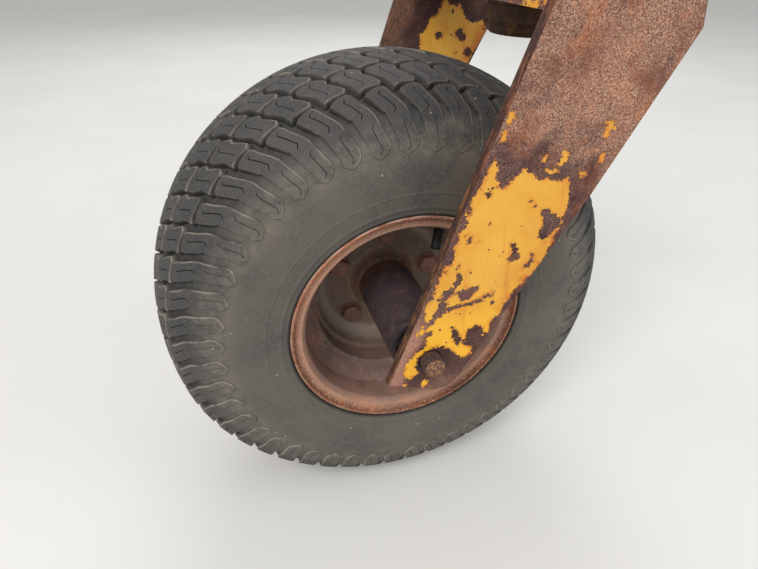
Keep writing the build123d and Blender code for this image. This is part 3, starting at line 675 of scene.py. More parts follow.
def make_island(corners, slots, dimples, corner, spacing):
    """A block's (angle, arc length, height) points and faces: top with slots, bevel, wall and foot."""
    centre = np.mean([c[0] for c in corners])

    def flat(points):
        points = np.array(points, float)
        _, r = on_profile(points[:, 1], 0.0)
        return np.stack([(points[:, 0] - centre) * np.radians(1) * r, points[:, 1]], 1)

    def back(points, height):
        _, r = on_profile(points[:, 1], 0.0)
        return np.stack([centre + points[:, 0] / (np.radians(1) * r), points[:, 1],
                         np.broadcast_to(height, len(points))], 1)

    edge = rounded(flat(corners), corner, spacing)
    if signed_area(edge) < 0:
        edge = edge[::-1]
    n = len(edge)
    normal = outward(edge)
    top = edge - BLOCK_BEVEL * normal
    depth = groove_depth(edge[:, 1])
    foot = edge + normal * (depth * (0.12 + 0.2 * normal[:, 0] ** 2))[:, None]
    points, heights, edges, blocked = [], [], [], [top]

    def add(where, height, closed=True):
        """Take in points at a height, as a loop where closed, and give the first one's index."""
        start = len(points)
        points.extend(tuple(p) for p in where)
        heights.extend([height] * len(where))
        if closed:
            edges.extend(loop_edges(start, len(where)))
        return start

    add(top, 0.0)
    for line, width, low in slots:
        middle = divided(flat(line), 2.2)
        loop = slot_loops(middle, width)
        start = add(loop, 0.0)
        begin = add(middle[1:-1], -low, closed=False)
        run = [start, *range(begin, len(points)), start + len(middle) - 1]
        edges.extend(zip(run, run[1:]))
        blocked.append(loop)
    for place, size, low in dimples:
        spot = flat([place])[0]
        turn = np.linspace(0, 2 * math.pi, 8, endpoint=False)
        add(spot + size * np.stack([np.cos(turn), np.sin(turn)], 1), -0.35 * low)
        add([spot], -low, closed=False)
    rim = edge - RIM_INSET * normal
    clear = inside(rim, top) & (to_outline(rim, top) > 0.8)
    for outline in blocked[1:]:
        clear &= to_outline(rim, outline) > 0.6
    add(rim[clear], 0.0, closed=False)
    grid = staggered(top, 5.0, 4.6)
    keep = inside(grid, top)
    for outline in blocked + [rim]:
        keep &= to_outline(grid, outline) > 1.6
    add(grid[keep], 0.0, closed=False)

    flat_verts, faces, origin, where = meshed(points, edges, 1e-5)
    cap = back(flat_verts, 0.0)
    cap[:, 2] = [min((heights[i] for i in o), default=0.0) for o in origin]
    c = len(cap)
    rings = [[where[i] for i in range(n)], range(c, c + n), range(c + n, c + 2 * n)]
    out = [tuple(f) for f in faces]
    for i, j in loop_edges(0, n):
        out += [(upper[j], upper[i], lower[i], lower[j]) for upper, lower in zip(rings, rings[1:])]
    out.append(tuple(rings[2])[::-1])
    # Painted light: edges facing one way round the tyre get more pale wear, and the feet of their walls less
    # darkness, as if lit from that side.
    facing = normal[:, 0] * np.sign(edge[:, 1].mean() + 1e-9)
    worn = np.full(c, 0.12)
    worn[rings[0]] = np.clip(0.7 + 0.45 * facing, 0.3, 1.0)
    # Painted shade: sipes and the feet of deep walls are marked for darkening, more on walls facing the other way.
    sunk = np.interp(depth, [0.5, 1.2, 5], [0, 0.9, 1.0]) * np.clip(0.62 - 0.5 * facing, 0.15, 1.0)
    values = {"wear_and_highlight": np.concatenate([worn, np.clip(0.8 + 0.3 * facing, 0.5, 1.0), np.zeros(n)]),
              "low": np.concatenate([np.where(cap[:, 2] < -BEVEL_DROP, 1.0, 0.0), np.zeros(n), sunk])}
    verts = np.vstack([cap, back(edge, -BEVEL_DROP), back(foot, -(depth + FOOT_SINK))])
    return verts, out, values


def all_round(islands):
    """Copies of the islands all round the tyre, as points, faces and the points' values."""
    verts, faces, start = [], [], 0
    for points, polygons, _ in islands:
        for k in range(PITCH_COUNT):
            verts.append(on_tyre(points[:, 0] + PITCH * k, points[:, 1], points[:, 2]))
            faces += [tuple(start + i for i in f) for f in polygons]
            start += len(points)
    values = {key: np.concatenate([np.tile(v[key], PITCH_COUNT) for _, _, v in islands])
              for key in ("wear_and_highlight", "low")}
    return np.vstack(verts), faces, values


def turned_round(island, lag):
    """An island of the near shoulder, turned half round onto the far shoulder, an angle behind."""
    points, polygons, values = island
    return points * np.array([-1.0, -1.0, 1.0]) - np.array([lag, 0.0, 0.0]), polygons, values


LUG = [(115.22, -129.5), (117.33, -124.8), (117.07, -120), (117.6, -114), (118.3, -106.6),
       (118.9, -97.7), (119.05, -94.8), (119.44, -94.5), (120.2, -89.8), (121.3, -83.5), (121.8, -80.3),
       (122.2, -78.2), (121.55, -76.1), (120.2, -74), (118.2, -72.4), (117.4, -75.5), (116.9, -79),
       (116.56, -81.4), (115.9, -85), (115, -89.3), (114.05, -95), (113.6, -101.4), (113.0, -108.7),
       (112.2, -116.1), (112.2, -121.4), (113.1, -125.6)]
LUG_SLOTS = [([(115.2, -126), (114.2, -122.2), (115.5, -105.1), (114.8, -101.5)], 0.9, 0.9),
             ([(117.27, -97.2), (116.6, -93.2), (117.9, -86.1), (119.3, -79.3), (118.8, -76.6)], 0.9, 2.4)]
LUG_DIMPLES = [((112.75, -119.8), 0.9, 0.8)]
BLOCK = [(110.9, -69.8), (112.1, -70), (113.7, -70.8), (115.1, -73.5), (115.4, -75.5), (116.3, -64.2),
         (116.8, -60.8), (117.4, -58), (118.4, -53), (118.95, -50), (119.3, -47), (119.3, -44.5),
         (118.9, -42), (118.2, -40.6), (115.6, -37), (114.7, -38), (112.8, -44.5), (112.9, -51),
         (111.4, -58), (110.2, -65)]
BLOCK_SLOT = [(114.2, -66.9), (113.8, -64), (116.2, -48.2), (116.3, -46), (115.9, -41.4)]
BLOCK_STEP = (-2.7, 35.0)
BLOCK_ROWS = 4
SLOT_WIDTH, SLOT_DEPTH = 0.9, 2.4
FAR_LAG = 2.1


def moved(points, k):
    return [(a + BLOCK_STEP[0] * k, s + BLOCK_STEP[1] * k) for a, s in points]


lug = make_island(LUG, LUG_SLOTS, LUG_DIMPLES, 1.0, 3.4)
blocks = [make_island(moved(BLOCK, k), [(moved(BLOCK_SLOT, k), SLOT_WIDTH, SLOT_DEPTH)], [], 0.9, 3.0)
          for k in range(BLOCK_ROWS)]
for name, (verts, faces, values), hides in (
        ("tyre_casing", make_casing(), ["tyre"]),
        ("tyre_lugs_near", all_round([lug]), []),
        ("tyre_lugs_far", all_round([turned_round(lug, FAR_LAG)]), []),
        ("tyre_blocks", all_round(blocks), [])):
    make_piece(name, verts, faces, "wheel", "tyre_rubber", FINISH["tyre_rubber"], 30, hides, values)

# Fork arms

ARM_INNER, ARM_OUTER = 138.5, 148.0
ARM_CORNERS = [(-38.0, -21.0), (19.6, -41.6), (130.0, 140.0), (192.0, 257.0), (181.97, 316.0),
               (82.65, 316.0)]
ARM_SOFT = 0.9
ARM_GRID = 1.7
TOE_RADIUS = 19.0
AXLE_R = 9.525
AXLE_PLAY = 0.35
PAINT_REACH = 12.0
ZONE_REACH = 45.0

PAINTED = [(43, 177), (36, 163), (41, 157), (51, 153), (59, 161), (65, 168), (71, 164), (79, 158),
           (90, 157), (100, 153), (104, 158), (108, 146), (110, 136), (106.5, 120), (102.5, 107),
           (95.5, 83), (87, 72), (79, 65), (70.5, 55.5), (62, 37.5), (55, 30.5), (54, 19.5), (48, 12.5),
           (43, 20), (39, 9), (38.6, -1.4), (29, -5.5), (20.5, 5.5), (15, 10), (6.7, 14), (-4.4, 11),
           (-11.4, 4), (-12.8, -5.5), (-10, -12.5), (-18.3, -16.7), (-24, -12.5), (-22.5, 0),
           (-15.5, 8.3), (-4.4, 16.7), (-6, 27), (-14, 30.5), (-7, 41.7), (-8.6, 52.8), (-3, 63.9),
           (4, 80.5), (6.7, 91.7), (13.6, 94.4), (15, 111), (17.8, 122), (23.3, 130.5), (20.5, 139),
           (26, 150), (31.7, 157), (37.2, 169.4)]
BARE = [
    [(86, 132), (93, 131), (97, 126), (107, 120), (104, 113), (97, 108), (92, 104), (88, 108), (89, 117)],
    [(62.5, 106), (66, 105), (70, 98), (72, 90), (66, 88), (63, 91), (65, 97)],
    [(83, 94.5), (87, 92), (87, 86), (82, 79.5), (79, 82), (83, 87)],
    [(51, 62.5), (53, 58), (46, 55), (38, 52), (28, 51), (12, 49.5), (10, 52.5), (26, 54), (36, 56), (45, 60)],
    [(21, 67), (29, 70), (39, 69), (38, 64), (31, 57.5), (24, 58), (22, 63)],
    [(4, 63), (9, 70), (18, 72), (18, 66), (11, 60), (12, 52), (8, 46), (1, 41), (-6, 33), (-9, 36),
     (-4, 42), (2, 48), (5, 55)],
    [(18.5, 84), (21, 85), (23, 80), (22, 75), (18, 72), (17, 76), (21, 79)],
    [(17, 32), (20, 31), (26, 22), (28, 12), (25, 10), (21, 16), (21, 24)],
    [(32, 25), (41, 29), (49, 24), (49, 15), (45, 10), (37, 5), (30, 10), (31, 17)],
    [(21.5, 143), (25, 142), (25.5, 136), (22.5, 134), (21, 138)],
    [(-7, 31.5), (-1, 31), (0, 27), (-6, 26)],
    [(26, 119), (29, 116), (27, 111), (25, 114)],
    [(36.5, 152), (39.5, 153), (40, 148), (37.5, 147.5)]]
BARE_SPOTS = [(75, 140.5, 1.4), (79.5, 136, 1.2), (54, 50, 1.5), (64, 68, 0.9), (42, 126, 0.9),
              (35, 111, 1.0), (19, 91.5, 1.6), (22.5, 119, 0.9), (70, 165, 1.4), (30, 85, 0.7),
              (9, 88, 1.2)]
FLAKE_GROWTH = 0.6
FLAKES = [
    [(32, 157), (35, 165), (38, 174), (41, 177), (43, 170), (42, 163), (47, 158), (40, 154)],
    [(45, 204), (47.5, 210), (51, 209), (50.5, 203), (47, 202)],
    [(43, 196), (45, 197), (46, 191), (43, 190)],
    [(128.5, 197), (133, 196), (138.5, 193), (137, 190), (132.5, 190.5), (131.5, 185.5), (129.5, 186), (131, 192)],
    [(92, 176), (97, 178), (100.5, 177), (100, 168.5), (96.5, 166.5), (93, 169), (95.5, 173)],
    [(80, 175), (82, 175.5), (81.5, 171.5), (79.5, 172)],
    [(84.5, 164), (91, 164.5), (94, 162.5), (88, 161)],
    [(113, 161.5), (116, 160), (120, 156.5), (117.5, 155.5)],
    [(130.5, 172), (134.5, 170.5), (133, 164.5), (130, 166)],
    [(-6, -23), (-3, -22), (-2, -27), (-5, -30), (-7.5, -27)],
    [(-25.5, -22), (-23, -21.5), (-22, -25), (-24.5, -25.5)]]
FAR_PAINTED = [(88, 203), (90, 210), (87, 218), (95, 222), (99, 228), (99, 234), (107, 236), (112, 243),
               (115, 249), (118, 252), (121, 249), (126, 247), (135, 246), (140, 240), (145, 232),
               (155, 228), (165, 230), (171, 220), (162, 204), (150, 184), (136, 160), (122, 140),
               (112, 122), (96, 98), (80, 76), (64, 58), (52, 34), (40, 10), (30, -6), (18, 4), (8, 16),
               (-6, 22), (-2, 40), (10, 52), (6, 70), (16, 88), (28, 96), (24, 112), (34, 124),
               (44, 140), (42, 156), (56, 168), (62, 184), (76, 192)]
FAR_BARE = [[(60, 120), (72, 128), (84, 124), (80, 112), (66, 108)], [(30, 60), (40, 72), (50, 66),
            (44, 54), (34, 50)], [(98, 160), (106, 168), (116, 162), (108, 150), (98, 150)], [(46, 96),
            (52, 100), (56, 92), (50, 88)]]
FAR_SPOTS = [(112, 216, 4.0), (137, 217, 5.0), (141, 213, 4.5), (149, 197, 5.5), (134, 197, 1.7),
             (132, 246, 2.0), (142, 243, 2.4), (150, 232, 2.2), (128, 240, 1.2), (122, 176, 2.5),
             (86, 150, 3.0)]
UPPER_PAINTED = [(70, 250), (78, 268), (84, 290), (92, 300), (120, 296), (132, 304), (160, 300),
                 (172, 290), (178, 268), (172, 250), (160, 236), (150, 214), (136, 196), (120, 176),
                 (112, 158), (98, 150), (86, 132), (72, 120), (62, 100), (48, 92), (36, 74), (24, 66),
                 (16, 46), (4, 40), (8, 58), (18, 78), (24, 98), (34, 118), (36, 138), (48, 158),
                 (50, 178), (60, 196), (58, 214), (70, 232)]
TIP_PAINTED = [(-20, -8), (-14, 8), (-4, 18), (10, 20), (20, 12), (26, -2), (30, -18), (20, -30),
               (8, -24), (-6, -20)]


def painted(points, outlines, patches, spots):
    """How far inside the yellow paint each (x, z) point of a face is, in millimetres."""
    depth = deepest(points, outlines)
    for patch in patches:
        depth = np.minimum(depth, -depth_in(points, patch))
    for x, z, size in spots:
        depth = np.minimum(depth, np.hypot(points[:, 0] - x, points[:, 1] - z) - size)
    return depth


def near_outer(points):
    return np.maximum(painted(points, [PAINTED], BARE, BARE_SPOTS), deepest(points, FLAKES) + FLAKE_GROWTH)


def near_inner(points):
    return near_outer(points + np.array([-14.0, -38.0]))


def far_inner(points):
    return painted(points, [FAR_PAINTED], FAR_BARE, FAR_SPOTS)


def far_outer(points):
    patches = [[(x + 12.0, z + 46.0) for x, z in patch] for patch in BARE]
    return painted(points, [UPPER_PAINTED, TIP_PAINTED], patches, FAR_SPOTS)


def arm_outline():
    """The arm's outline with its rounded toe, in even steps."""
    corners = [np.array(c) for c in ARM_CORNERS]
    toe = corners[1]
    back, ahead = ((c - toe) / np.linalg.norm(c - toe) for c in (corners[0], corners[2]))
    half = 0.5 * math.acos(float(back @ ahead))
    middle = toe + (back + ahead) / np.linalg.norm(back + ahead) * TOE_RADIUS / math.sin(half)
    start, end = (math.atan2(*(toe + way * TOE_RADIUS / math.tan(half) - middle)[::-1])
                  for way in (back, ahead))
    if end < start:
        end += 2 * math.pi
    arc = [middle + TOE_RADIUS * np.array([math.cos(a), math.sin(a)]) for a in np.linspace(start, end, 14)]
    line = [corners[0]] + arc + corners[2:]
    return np.array(in_steps(zip(line, line[1:] + line[:1]), 3.0))


def arm_face(edge):
    """Points and triangles of an arm's flat face, and the points along its rim and the axle's hole."""
    turn = np.linspace(0, 2 * math.pi, 40, endpoint=False)
    hole = (AXLE_R + AXLE_PLAY) * np.stack([np.cos(turn), np.sin(turn)], 1)
    grid = staggered(edge, ARM_GRID, ARM_GRID * 0.87)
    keep = inside(grid, edge) & (to_outline(grid, edge) > 0.6 * ARM_GRID)
    keep &= np.hypot(*grid.T) > AXLE_R + 1.2
    n, m = len(edge), len(hole)
    points = [tuple(p) for p in np.vstack([edge, hole, grid[keep]])]
    flat, faces, _, where = meshed(points, loop_edges(0, n) + loop_edges(n, m), 1e-6)
    faces = [f for f in faces if np.linalg.norm(flat[list(f)].mean(0)) > AXLE_R]
    return flat, faces, [where[i] for i in range(n)], [where[n + i] for i in range(m)]


def from_front(points):
    """Distance in millimetres from the arm's front edge."""
    return to_outline(points, np.array(ARM_CORNERS[1:4]), closed=False)


def zone_in(points, outlines):
    """Distance inside the painted outlines, far enough outside them for the darker rust and painted shade about
    the paint.
    """
    return np.clip(deepest(points, outlines), -ZONE_REACH, PAINT_REACH)


def make_arm(sign, paint_outer, paint_inner, zones):
    """A flame-cut arm with softened edges and a paint depth on every point."""
    edge = arm_outline()
    flat, faces, rim, hole = arm_face(edge - ARM_SOFT * outward(edge))
    n, m = len(flat), len(edge)
    outer, inner = sign * ARM_OUTER, sign * ARM_INNER
    eased = 0.27 * ARM_SOFT
    verts = [np.stack([flat[:, 0], np.full(n, y), flat[:, 1]], 1) for y in (outer, inner)]
    for ring, y in ((edge - eased * outward(edge), outer - sign * eased), (edge, outer - sign * ARM_SOFT),
                    (edge, inner + sign * ARM_SOFT), (edge - eased * outward(edge), inner + sign * eased)):
        verts.append(np.stack([ring[:, 0], np.full(m, y), ring[:, 1]], 1))
    loops = [rim] + [range(2 * n + k * m, 2 * n + (k + 1) * m) for k in range(4)] + [[n + i for i in rim]]
    out = [tuple(f) for f in faces] + [tuple(n + i for i in f)[::-1] for f in faces]
    for a, b in zip(loops, loops[1:]):
        out += [(a[i], b[i], b[j], a[j]) for i, j in loop_edges(0, m)]
    out += [(hole[i], hole[j], n + hole[j], n + hole[i]) for i, j in loop_edges(0, len(hole))]
    if sign > 0:
        out = [f[::-1] for f in out]
    heel, top = np.array(ARM_CORNERS[0]), np.array(ARM_CORNERS[-1])
    across = np.array([top[1] - heel[1], heel[0] - top[0]]) / np.linalg.norm(top - heel)
    paint = np.clip(np.concatenate([paint_outer(flat), paint_inner(flat)]), -PAINT_REACH, PAINT_REACH)
    side = 4 * m
    rows = {"paint": [paint, np.full(side, -PAINT_REACH)],
            "zone": [*(zone_in(flat, zone) for zone in zones), np.full(side, -ZONE_REACH)],
            "rear": [np.tile((flat - heel) @ across, 2), np.tile((edge - heel) @ across, 4)],
            "inward": [np.zeros(n), np.ones(n), np.zeros(side)],
            "front": [np.tile(from_front(flat), 2), np.tile(from_front(edge), 4)],
            "side": [np.zeros(2 * n), np.ones(side)]}
    return np.vstack(verts), out, {key: np.concatenate(row) for key, row in rows.items()}


for side, sign, outer_paint, inner_paint, zones in (
        ("near", -1, near_outer, near_inner, ([PAINTED], [PAINTED])),
        ("far", 1, far_outer, far_inner, ([UPPER_PAINTED, TIP_PAINTED], [FAR_PAINTED]))):
    verts, faces, values = make_arm(sign, outer_paint, inner_paint, zones)
    make_piece(f"fork_arm_{side}", verts, faces, "fork", "fork_paint", ARM_PAINT, 40, [f"arm_{side}"],
               values)

# Hardware

CENTRE = (0, 0, 0)
PIVOT_X = 148.0
BOLT_COUNT = 5
BOLT_CIRCLE_R = 52.5
BOLT_START = 11.0
NIPPLE_Z = 392.0
PLATE_FACE_X = 207.6
FLAT_ANGLE = 0.6
EDGE_ANGLE = 38


def spun(rings, axis, centre):
    """Points of rings about an axis, each a row of (radius, place) pairs at even turns."""
    rings = np.asarray(rings, float)
    turn = np.linspace(0, 2 * math.pi, rings.shape[1], endpoint=False)
    first, second = [i for i in range(3) if i != axis]
    out = np.empty(rings.shape[:2] + (3,))
    out[..., first] = rings[..., 0] * np.cos(turn)
    out[..., second] = rings[..., 0] * np.sin(turn)
    out[..., axis] = rings[..., 1]
    return out.reshape(-1, 3) + np.asarray(centre, float)


def spun_faces(ring_count, turns, closed):
    faces = []
    for k in range(ring_count if closed else ring_count - 1):
        low, high = k * turns, (k + 1) % ring_count * turns
        faces += [(low + i, low + j, high + j, high + i) for i, j in loop_edges(0, turns)]
    if not closed:
        faces += [tuple(range(turns))[::-1], tuple((ring_count - 1) * turns + i for i in range(turns))]
    return faces


def outward_faces(verts, faces):
    """The faces turned so that the closed mesh's volume is above nought."""
    volume = 0.0
    for f in faces:
        for i in range(1, len(f) - 1):
            volume += float(np.dot(verts[f[0]], np.cross(verts[f[i]], verts[f[i + 1]])))
    return faces if volume > 0 else [tuple(f)[::-1] for f in faces]


def turned(section, axis, centre, turns=48, bored=False):
    """A turned part: (radius, place) pairs from end to end, closed on itself where it is bored."""
    verts = spun([[(r, t)] * turns for r, t in section], axis, centre)
    return verts, outward_faces(verts, spun_faces(len(section), turns, bored))


def hexed(flats, start, end, axis, centre, bore=0.0, phase=0.0):
    """A hexagon head or nut with chamfered corners at both ends, along an axis."""
    turns = 72
    turn = np.linspace(0, 360, turns, endpoint=False) + phase
    reach = flats / 2 / np.cos(np.radians((turn % 60) - 30))
    ring = flats / 2 * 0.96
    drop = np.maximum(reach - ring, 0) * 0.55
    flat = np.minimum(reach, ring)
    rows = [(flat, start), (reach, start + drop), (reach, end - drop), (flat, end)]
    if bore:
        soft = 0.06 * bore
        rows += [(bore + soft, end), (bore, end - soft), (bore, start + soft), (bore + soft, start)]
    verts = spun([np.stack(np.broadcast_arrays(r, t, turn)[:2], 1) for r, t in rows], axis, centre)
    return verts, outward_faces(verts, spun_faces(len(rows), turns, bool(bore)))


def thread(radius, start, end, pitch, depth):
    """The section of a threaded length, as a row of ridges."""
    count = int(abs(end - start) / pitch)
    step = (end - start) / count
    out = []
    for i in range(count):
        out += [(radius - depth, start + step * (i + 0.1)), (radius, start + step * (i + 0.5))]
    return out + [(radius - depth, end)]


def joined(parts):
    verts, faces, start = [], [], 0
    for points, polygons in parts:
        verts.append(points)
        faces += [tuple(start + i for i in f) for f in polygons]
        start += len(points)
    return np.vstack(verts), faces


def make_axle_bolt():
    shank = [(8.3, -160.5), (9.1, -159.9)] + thread(AXLE_R, -159.2, -149.5, 2.0, 0.55)
    shank += [(AXLE_R, -148.4), (AXLE_R, 150.6), (14.0, 151.0)]
    return joined([turned(shank, 1, CENTRE, 64), hexed(28.6, 151.0, 163.0, 1, CENTRE)])


def bolt_places():
    for k in range(BOLT_COUNT):
        a = math.radians(BOLT_START + 360.0 / BOLT_COUNT * k)
        yield k, (BOLT_CIRCLE_R * math.cos(a), 0.0, BOLT_CIRCLE_R * math.sin(a))


def make_wheel_bolts():
    washer = [(11.6, -5.0), (11.9, -5.4), (11.8, -6.3), (11.2, -6.8), (8.0, -6.9)]
    tail = [(6.3, 0.0)] + thread(6.35, 18.0, 22.9, 1.25, 0.4) + [(5.2, 23.5)]
    parts = []
    for k, place in bolt_places():
        parts += [turned(washer, 1, place, 40), hexed(18.4, -12.9, -6.7, 1, place, phase=17.0 * k),
                  turned(tail, 1, place, 32)]
    return joined(parts)


def make_wheel_nuts():
    return joined([hexed(19.0, 7.5, 18.5, 1, place, bore=6.4, phase=23.0 * k)
                   for k, place in bolt_places()])


def make_hub_flange():
    """The hub's flange behind the disc, with a smooth weld fillet up to the tube on the near side."""
    section = [(28.75, 7.5), (60.5, 7.5), (62.6, 7.0), (63.7, 5.7), (64.0, 4.0), (64.0, -0.4), (37.7, -0.4),
               (37.7, -4.7), (41.5, -5.02), (40.0, -5.5), (38.0, -6.3), (35.6, -7.6), (33.0, -9.6), (31.1, -12.0),
               (29.9, -14.6), (29.2, -17.4), (28.75, -19.0)]
    return turned(section, 1, CENTRE, 96, bored=True)


def make_boss():
    """The spindle's boss under the crown, turned with shallow rings and a chamfered foot."""
    section = [(22.4, 296.0), (22.4, 238.0), (23.4, 237.0), (40.8, 237.0), (44.45, 240.4)]
    for z, deep in ((246.5, 0.9), (262.0, 0.6)):
        section += [(44.45, z - 1.4), (44.45 - deep, z - 0.7), (44.45 - deep, z + 0.7), (44.45, z + 1.4)]
    return turned(section + [(44.45, 296.0)], 2, (PIVOT_X, 0, 0), 96, bored=True)


def make_spindle():
    section = [(20.2, 237.0), (22.2, 239.0), (22.2, 499.0)] + thread(21.6, 499.4, 506.2, 2.0, 0.8)
    return turned(section + [(19.4, 507.6)], 2, (PIVOT_X, 0, 0), 72)


def make_nipple():
    place = (PIVOT_X, 0, NIPPLE_Z)
    section = [(1.0, -49.2), (2.3, -48.6), (3.4, -47.0), (3.4, -45.6), (2.5, -44.6), (2.5, -41.0), (2.5, -37.0)]
    return joined([turned(section, 1, place, 24), hexed(9.0, -42.0, -37.3, 1, place)])


def bead(path, radius, rng, ripple=4.2):
    """A weld bead along a path, rippled like overlapping drops, tapered at its ends."""
    path = divided(path, 1.2)
    length = np.concatenate([[0], np.cumsum(np.linalg.norm(np.diff(path, axis=0), axis=1))])
    ahead = np.gradient(path, axis=0)
    ahead /= np.linalg.norm(ahead, axis=1)[:, None]
    side = np.cross(ahead, np.array([0.37, 0.51, 0.78]))
    side /= np.linalg.norm(side, axis=1)[:, None]
    other = np.cross(ahead, side)
    turn = np.linspace(0, 2 * math.pi, 10, endpoint=False)[None, :, None]
    saw = (length / ripple + rng.uniform(0, 1)) % 1.0
    size = radius * (0.84 + 0.2 * np.sin(math.pi * saw)) * (1 + rng.normal(0, 0.03, len(path)))
    size *= np.clip(np.minimum(length, length[-1] - length) / radius * 0.5 + 0.45, 0, 1)
    ring = np.cos(turn) * side[:, None] + np.sin(turn) * other[:, None]
    verts = (path[:, None] + size[:, None, None] * ring).reshape(-1, 3)
    return verts, outward_faces(verts, spun_faces(len(path), 10, False))


def arc(radius, z, low, high):
    turn = np.radians(np.linspace(low, high, 40))
    return np.stack([PIVOT_X + radius * np.cos(turn), radius * np.sin(turn), np.full(40, z)], 1)


def make_crown_welds():
    rng = np.random.default_rng(7)
    parts = []
    for sign in (-1, 1):
        parts.append(bead([(85, sign * 137.6, 308.9), (174, sign * 137.6, 308.9)], 4.2, rng))
        for x in (143.4, 152.6):
            parts.append(bead([(x, sign * 46.5, 295.4), (x, sign * 136.5, 295.4)], 3.0, rng))
            for y in (44.4, 137.8):
                parts.append(bead([(x, sign * y, 264.5), (x, sign * y, 294.0)], 3.0, rng))
    for low, high in ((100, 260), (-60, 60)):
        parts.append(bead(arc(45.0, 295.2, low, high), 3.4, rng))
    return joined(parts)


def make_web_welds():
    rng = np.random.default_rng(11)
    parts = []
    for z in (330.8, 341.8, 442.8, 453.8):
        parts.append(bead([(PLATE_FACE_X, -31, z), (PLATE_FACE_X, 31, z)], 3.6, rng))
        parts.append(bead(arc(38.6, z, -52, 52), 3.4, rng))
    for z in (331.6, 443.6):
        for y in (-31.4, 31.4):
            parts.append(bead([(PLATE_FACE_X, y, z), (PLATE_FACE_X, y, z + 9.4)], 3.2, rng))
    return joined(parts)


def soften(node, width):
    """A copy of a CAD node with rounded edges, which stands for it."""
    name = f"{node}_rounded"
    mesh = NODES[node].data.copy()
    work = bmesh.new()
    work.from_mesh(mesh)
    bmesh.ops.remove_doubles(work, verts=work.verts, dist=1e-6)
    bmesh.ops.dissolve_limit(work, angle_limit=math.radians(FLAT_ANGLE), use_dissolve_boundaries=False,
                             verts=work.verts, edges=work.edges)
    work.to_mesh(mesh)
    work.free()
    piece = added(name, mesh)
    bevel = piece.modifiers.new("edges", "BEVEL")
    bevel.width = width * MM
    bevel.segments = 3
    bevel.limit_method = "ANGLE"
    bevel.angle_limit = math.radians(EDGE_ANGLE)
    bevel.harden_normals = True
    mesh.shade_smooth()
    mesh.set_sharp_from_angle(angle=math.radians(EDGE_ANGLE))
    graph = bpy.context.evaluated_depsgraph_get()
    piece.data = bpy.data.meshes.new_from_object(piece.evaluated_get(graph))
    piece.modifiers.clear()
    bpy.data.meshes.remove(mesh)
    piece.data.name = name
    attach(piece, next(body for body, nodes in RECORD["behaviour"]["bodies"].items() if node in nodes))
    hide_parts(node)


STEEL, RIM, BRIGHT = FINISH["rusty_steel"], FINISH["rim_rust"], FINISH["bright_steel"]
AXLE_STEEL = make_bolt_steel("axle_steel")
nut = hexed(57.0, 476.6, 498.6, 2, (PIVOT_X, 0, 0), bore=22.3)
for name, shape, body, slot, material, sharp, hides in (
        ("axle_bolt_threaded", make_axle_bolt(), "fork", "rusty_steel", AXLE_STEEL, 30, "axle_bolt"),
        ("wheel_bolt_set", make_wheel_bolts(), "wheel", "rusty_steel", DUSTY_STEEL, 30, "wheel_bolts"),
        ("wheel_nut_set", make_wheel_nuts(), "wheel", "rusty_steel", STEEL, 30, "wheel_nuts"),
        ("hub_flange_welded", make_hub_flange(), "wheel", "rusty_steel", RIM, 30, "hub_flange"),
        ("boss_turned", make_boss(), "fork", "fork_paint", SPECIAL["crown_boss"], 30, "crown_boss"),
        ("spindle_threaded", make_spindle(), "fork", "bright_steel", BRIGHT, 30, "spindle"),
        ("spindle_nut_chamfered", nut, "fork", "rusty_steel", STEEL, 30, "spindle_nut"),
        ("grease_nipple", make_nipple(), "mount", "bright_steel", BRIGHT, 30, None),
        ("crown_welds", make_crown_welds(), "fork", "fork_paint", FINISH["fork_paint"], 50, None),
        ("web_welds", make_web_welds(), "mount", "frame_paint", FINISH["frame_paint"], 50, None)):
    make_piece(name, *shape, body, slot, material, sharp, [hides] if hides else [])
for node, width in (("mount_plate", 1.2), ("web_lower", 0.8), ("web_upper", 0.8), ("pivot_sleeve", 1.0),
                    ("bush_lower", 0.5), ("bush_upper", 0.5), ("crown_plate", 1.0), ("crown_closer_front", 0.8),
                    ("crown_closer_rear", 0.8), ("crown_rib_near", 0.8), ("crown_rib_far", 0.8),
                    ("thrust_washer", 0.6), ("retaining_washer", 0.6), ("axle_washer", 0.4), ("spacer_near", 0.7),
                    ("spacer_far", 0.7), ("hub_tube", 0.7), ("valve_stem", 0.5)):
    soften(node, width)

# Floor, light and camera

FLOOR_HALF = 14.0
SKY_STRENGTH = 0.55
AIM = (-0.2, 0.0, -0.4)
CAMERA_FROM_AXLE = (-0.14803, -0.47836, 0.31127)


def make_floor():
    mesh = bpy.data.meshes.new("floor")
    corners = [(x * FLOOR_HALF, y * FLOOR_HALF, FLOOR_Z) for x, y in ((-1, -1), (1, -1), (1, 1), (-1, 1))]
    mesh.from_pydata(corners, [], [(0, 1, 2, 3)])
    floor = added("floor", mesh)
    s = Shader("floor_paint")
    tone = s.mix(s.noise(3, 3).step(0.3, 0.7), srgb(226, 225, 222), srgb(230, 229, 226))
    mesh.materials.append(s.finish(tone, 0.9, specular=0.1))


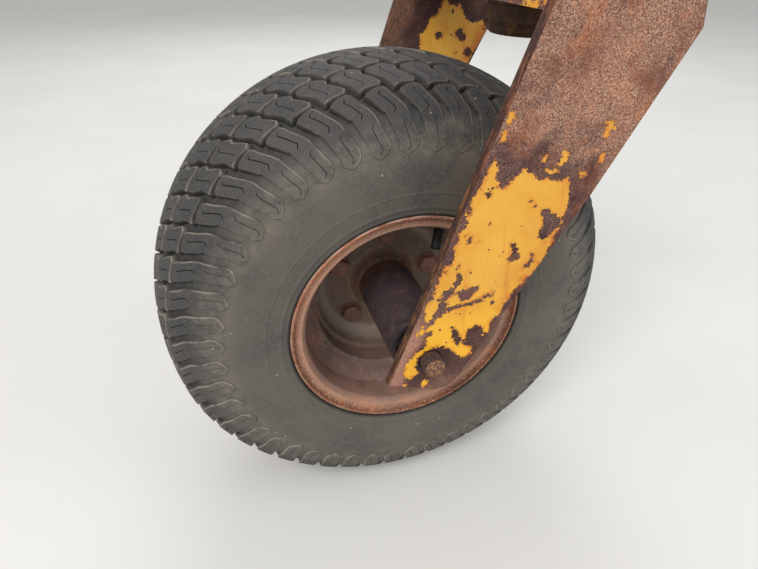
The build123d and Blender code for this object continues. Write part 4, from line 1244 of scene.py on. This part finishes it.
def make_lamp(name, place, aim, size, power, tint):
    lamp = bpy.data.lights.new(name, "AREA")
    lamp.shape = "SQUARE"
    lamp.size = size
    lamp.energy = power
    lamp.color = tint
    holder = added(name, lamp)
    holder.location = place
    holder.rotation_mode = "QUATERNION"
    holder.rotation_quaternion = (Vector(aim) - Vector(place)).to_track_quat("-Z", "Y")


def make_sky(tree):
    """Plain light on the object, under a paler backdrop for what the camera sees of the sky."""
    light = tree.nodes["Background"]
    light.inputs[0].default_value = (1.0, 1.0, 1.0, 1.0)
    light.inputs[1].default_value = SKY_STRENGTH
    backdrop = tree.nodes.new("ShaderNodeBackground")
    backdrop.inputs[0].default_value = (0.86, 0.86, 0.85, 1.0)
    backdrop.inputs[1].default_value = 1.0
    choice = tree.nodes.new("ShaderNodeMixShader")
    tree.links.new(tree.nodes.new("ShaderNodeLightPath").outputs["Is Camera Ray"], choice.inputs[0])
    tree.links.new(light.outputs[0], choice.inputs[1])
    tree.links.new(backdrop.outputs[0], choice.inputs[2])
    tree.links.new(choice.outputs[0], tree.nodes["World Output"].inputs[0])


def make_camera():
    """The photo's viewpoint, fitted to the rim, the tyre's outline and the tips of its lugs."""
    data = bpy.data.cameras.new("camera")
    data.sensor_width = 36.0
    data.lens = 25.58
    data.clip_start = 0.02
    camera = added("camera", data)
    azimuth, elevation = math.radians(-17.05), math.radians(32.94)
    look = Matrix.Rotation(azimuth, 4, "Z") @ Matrix.Rotation(math.pi / 2 - elevation, 4, "X")
    x, y, z = CAMERA_FROM_AXLE
    camera.matrix_world = Matrix.Translation((x + WHEEL.x, y, z + WHEEL.z)) @ look
    bpy.context.scene.camera = camera


make_floor()
make_lamp("key", (-1.9, -1.9, 2.1), AIM, 1.6, 74, (1.0, 0.97, 0.92))
make_lamp("fill", (2.2, -1.6, 1.2), AIM, 2.2, 26, (0.93, 0.96, 1.0))
make_lamp("back", (0.4, 2.6, 1.8), (-0.2, 0.0, -0.3), 2.0, 30, (1.0, 1.0, 1.0))
world = bpy.data.worlds.new("studio")
bpy.context.scene.world = world
world.use_nodes = True
make_sky(world.node_tree)
make_camera()
bpy.context.scene.view_settings.view_transform = "Standard"
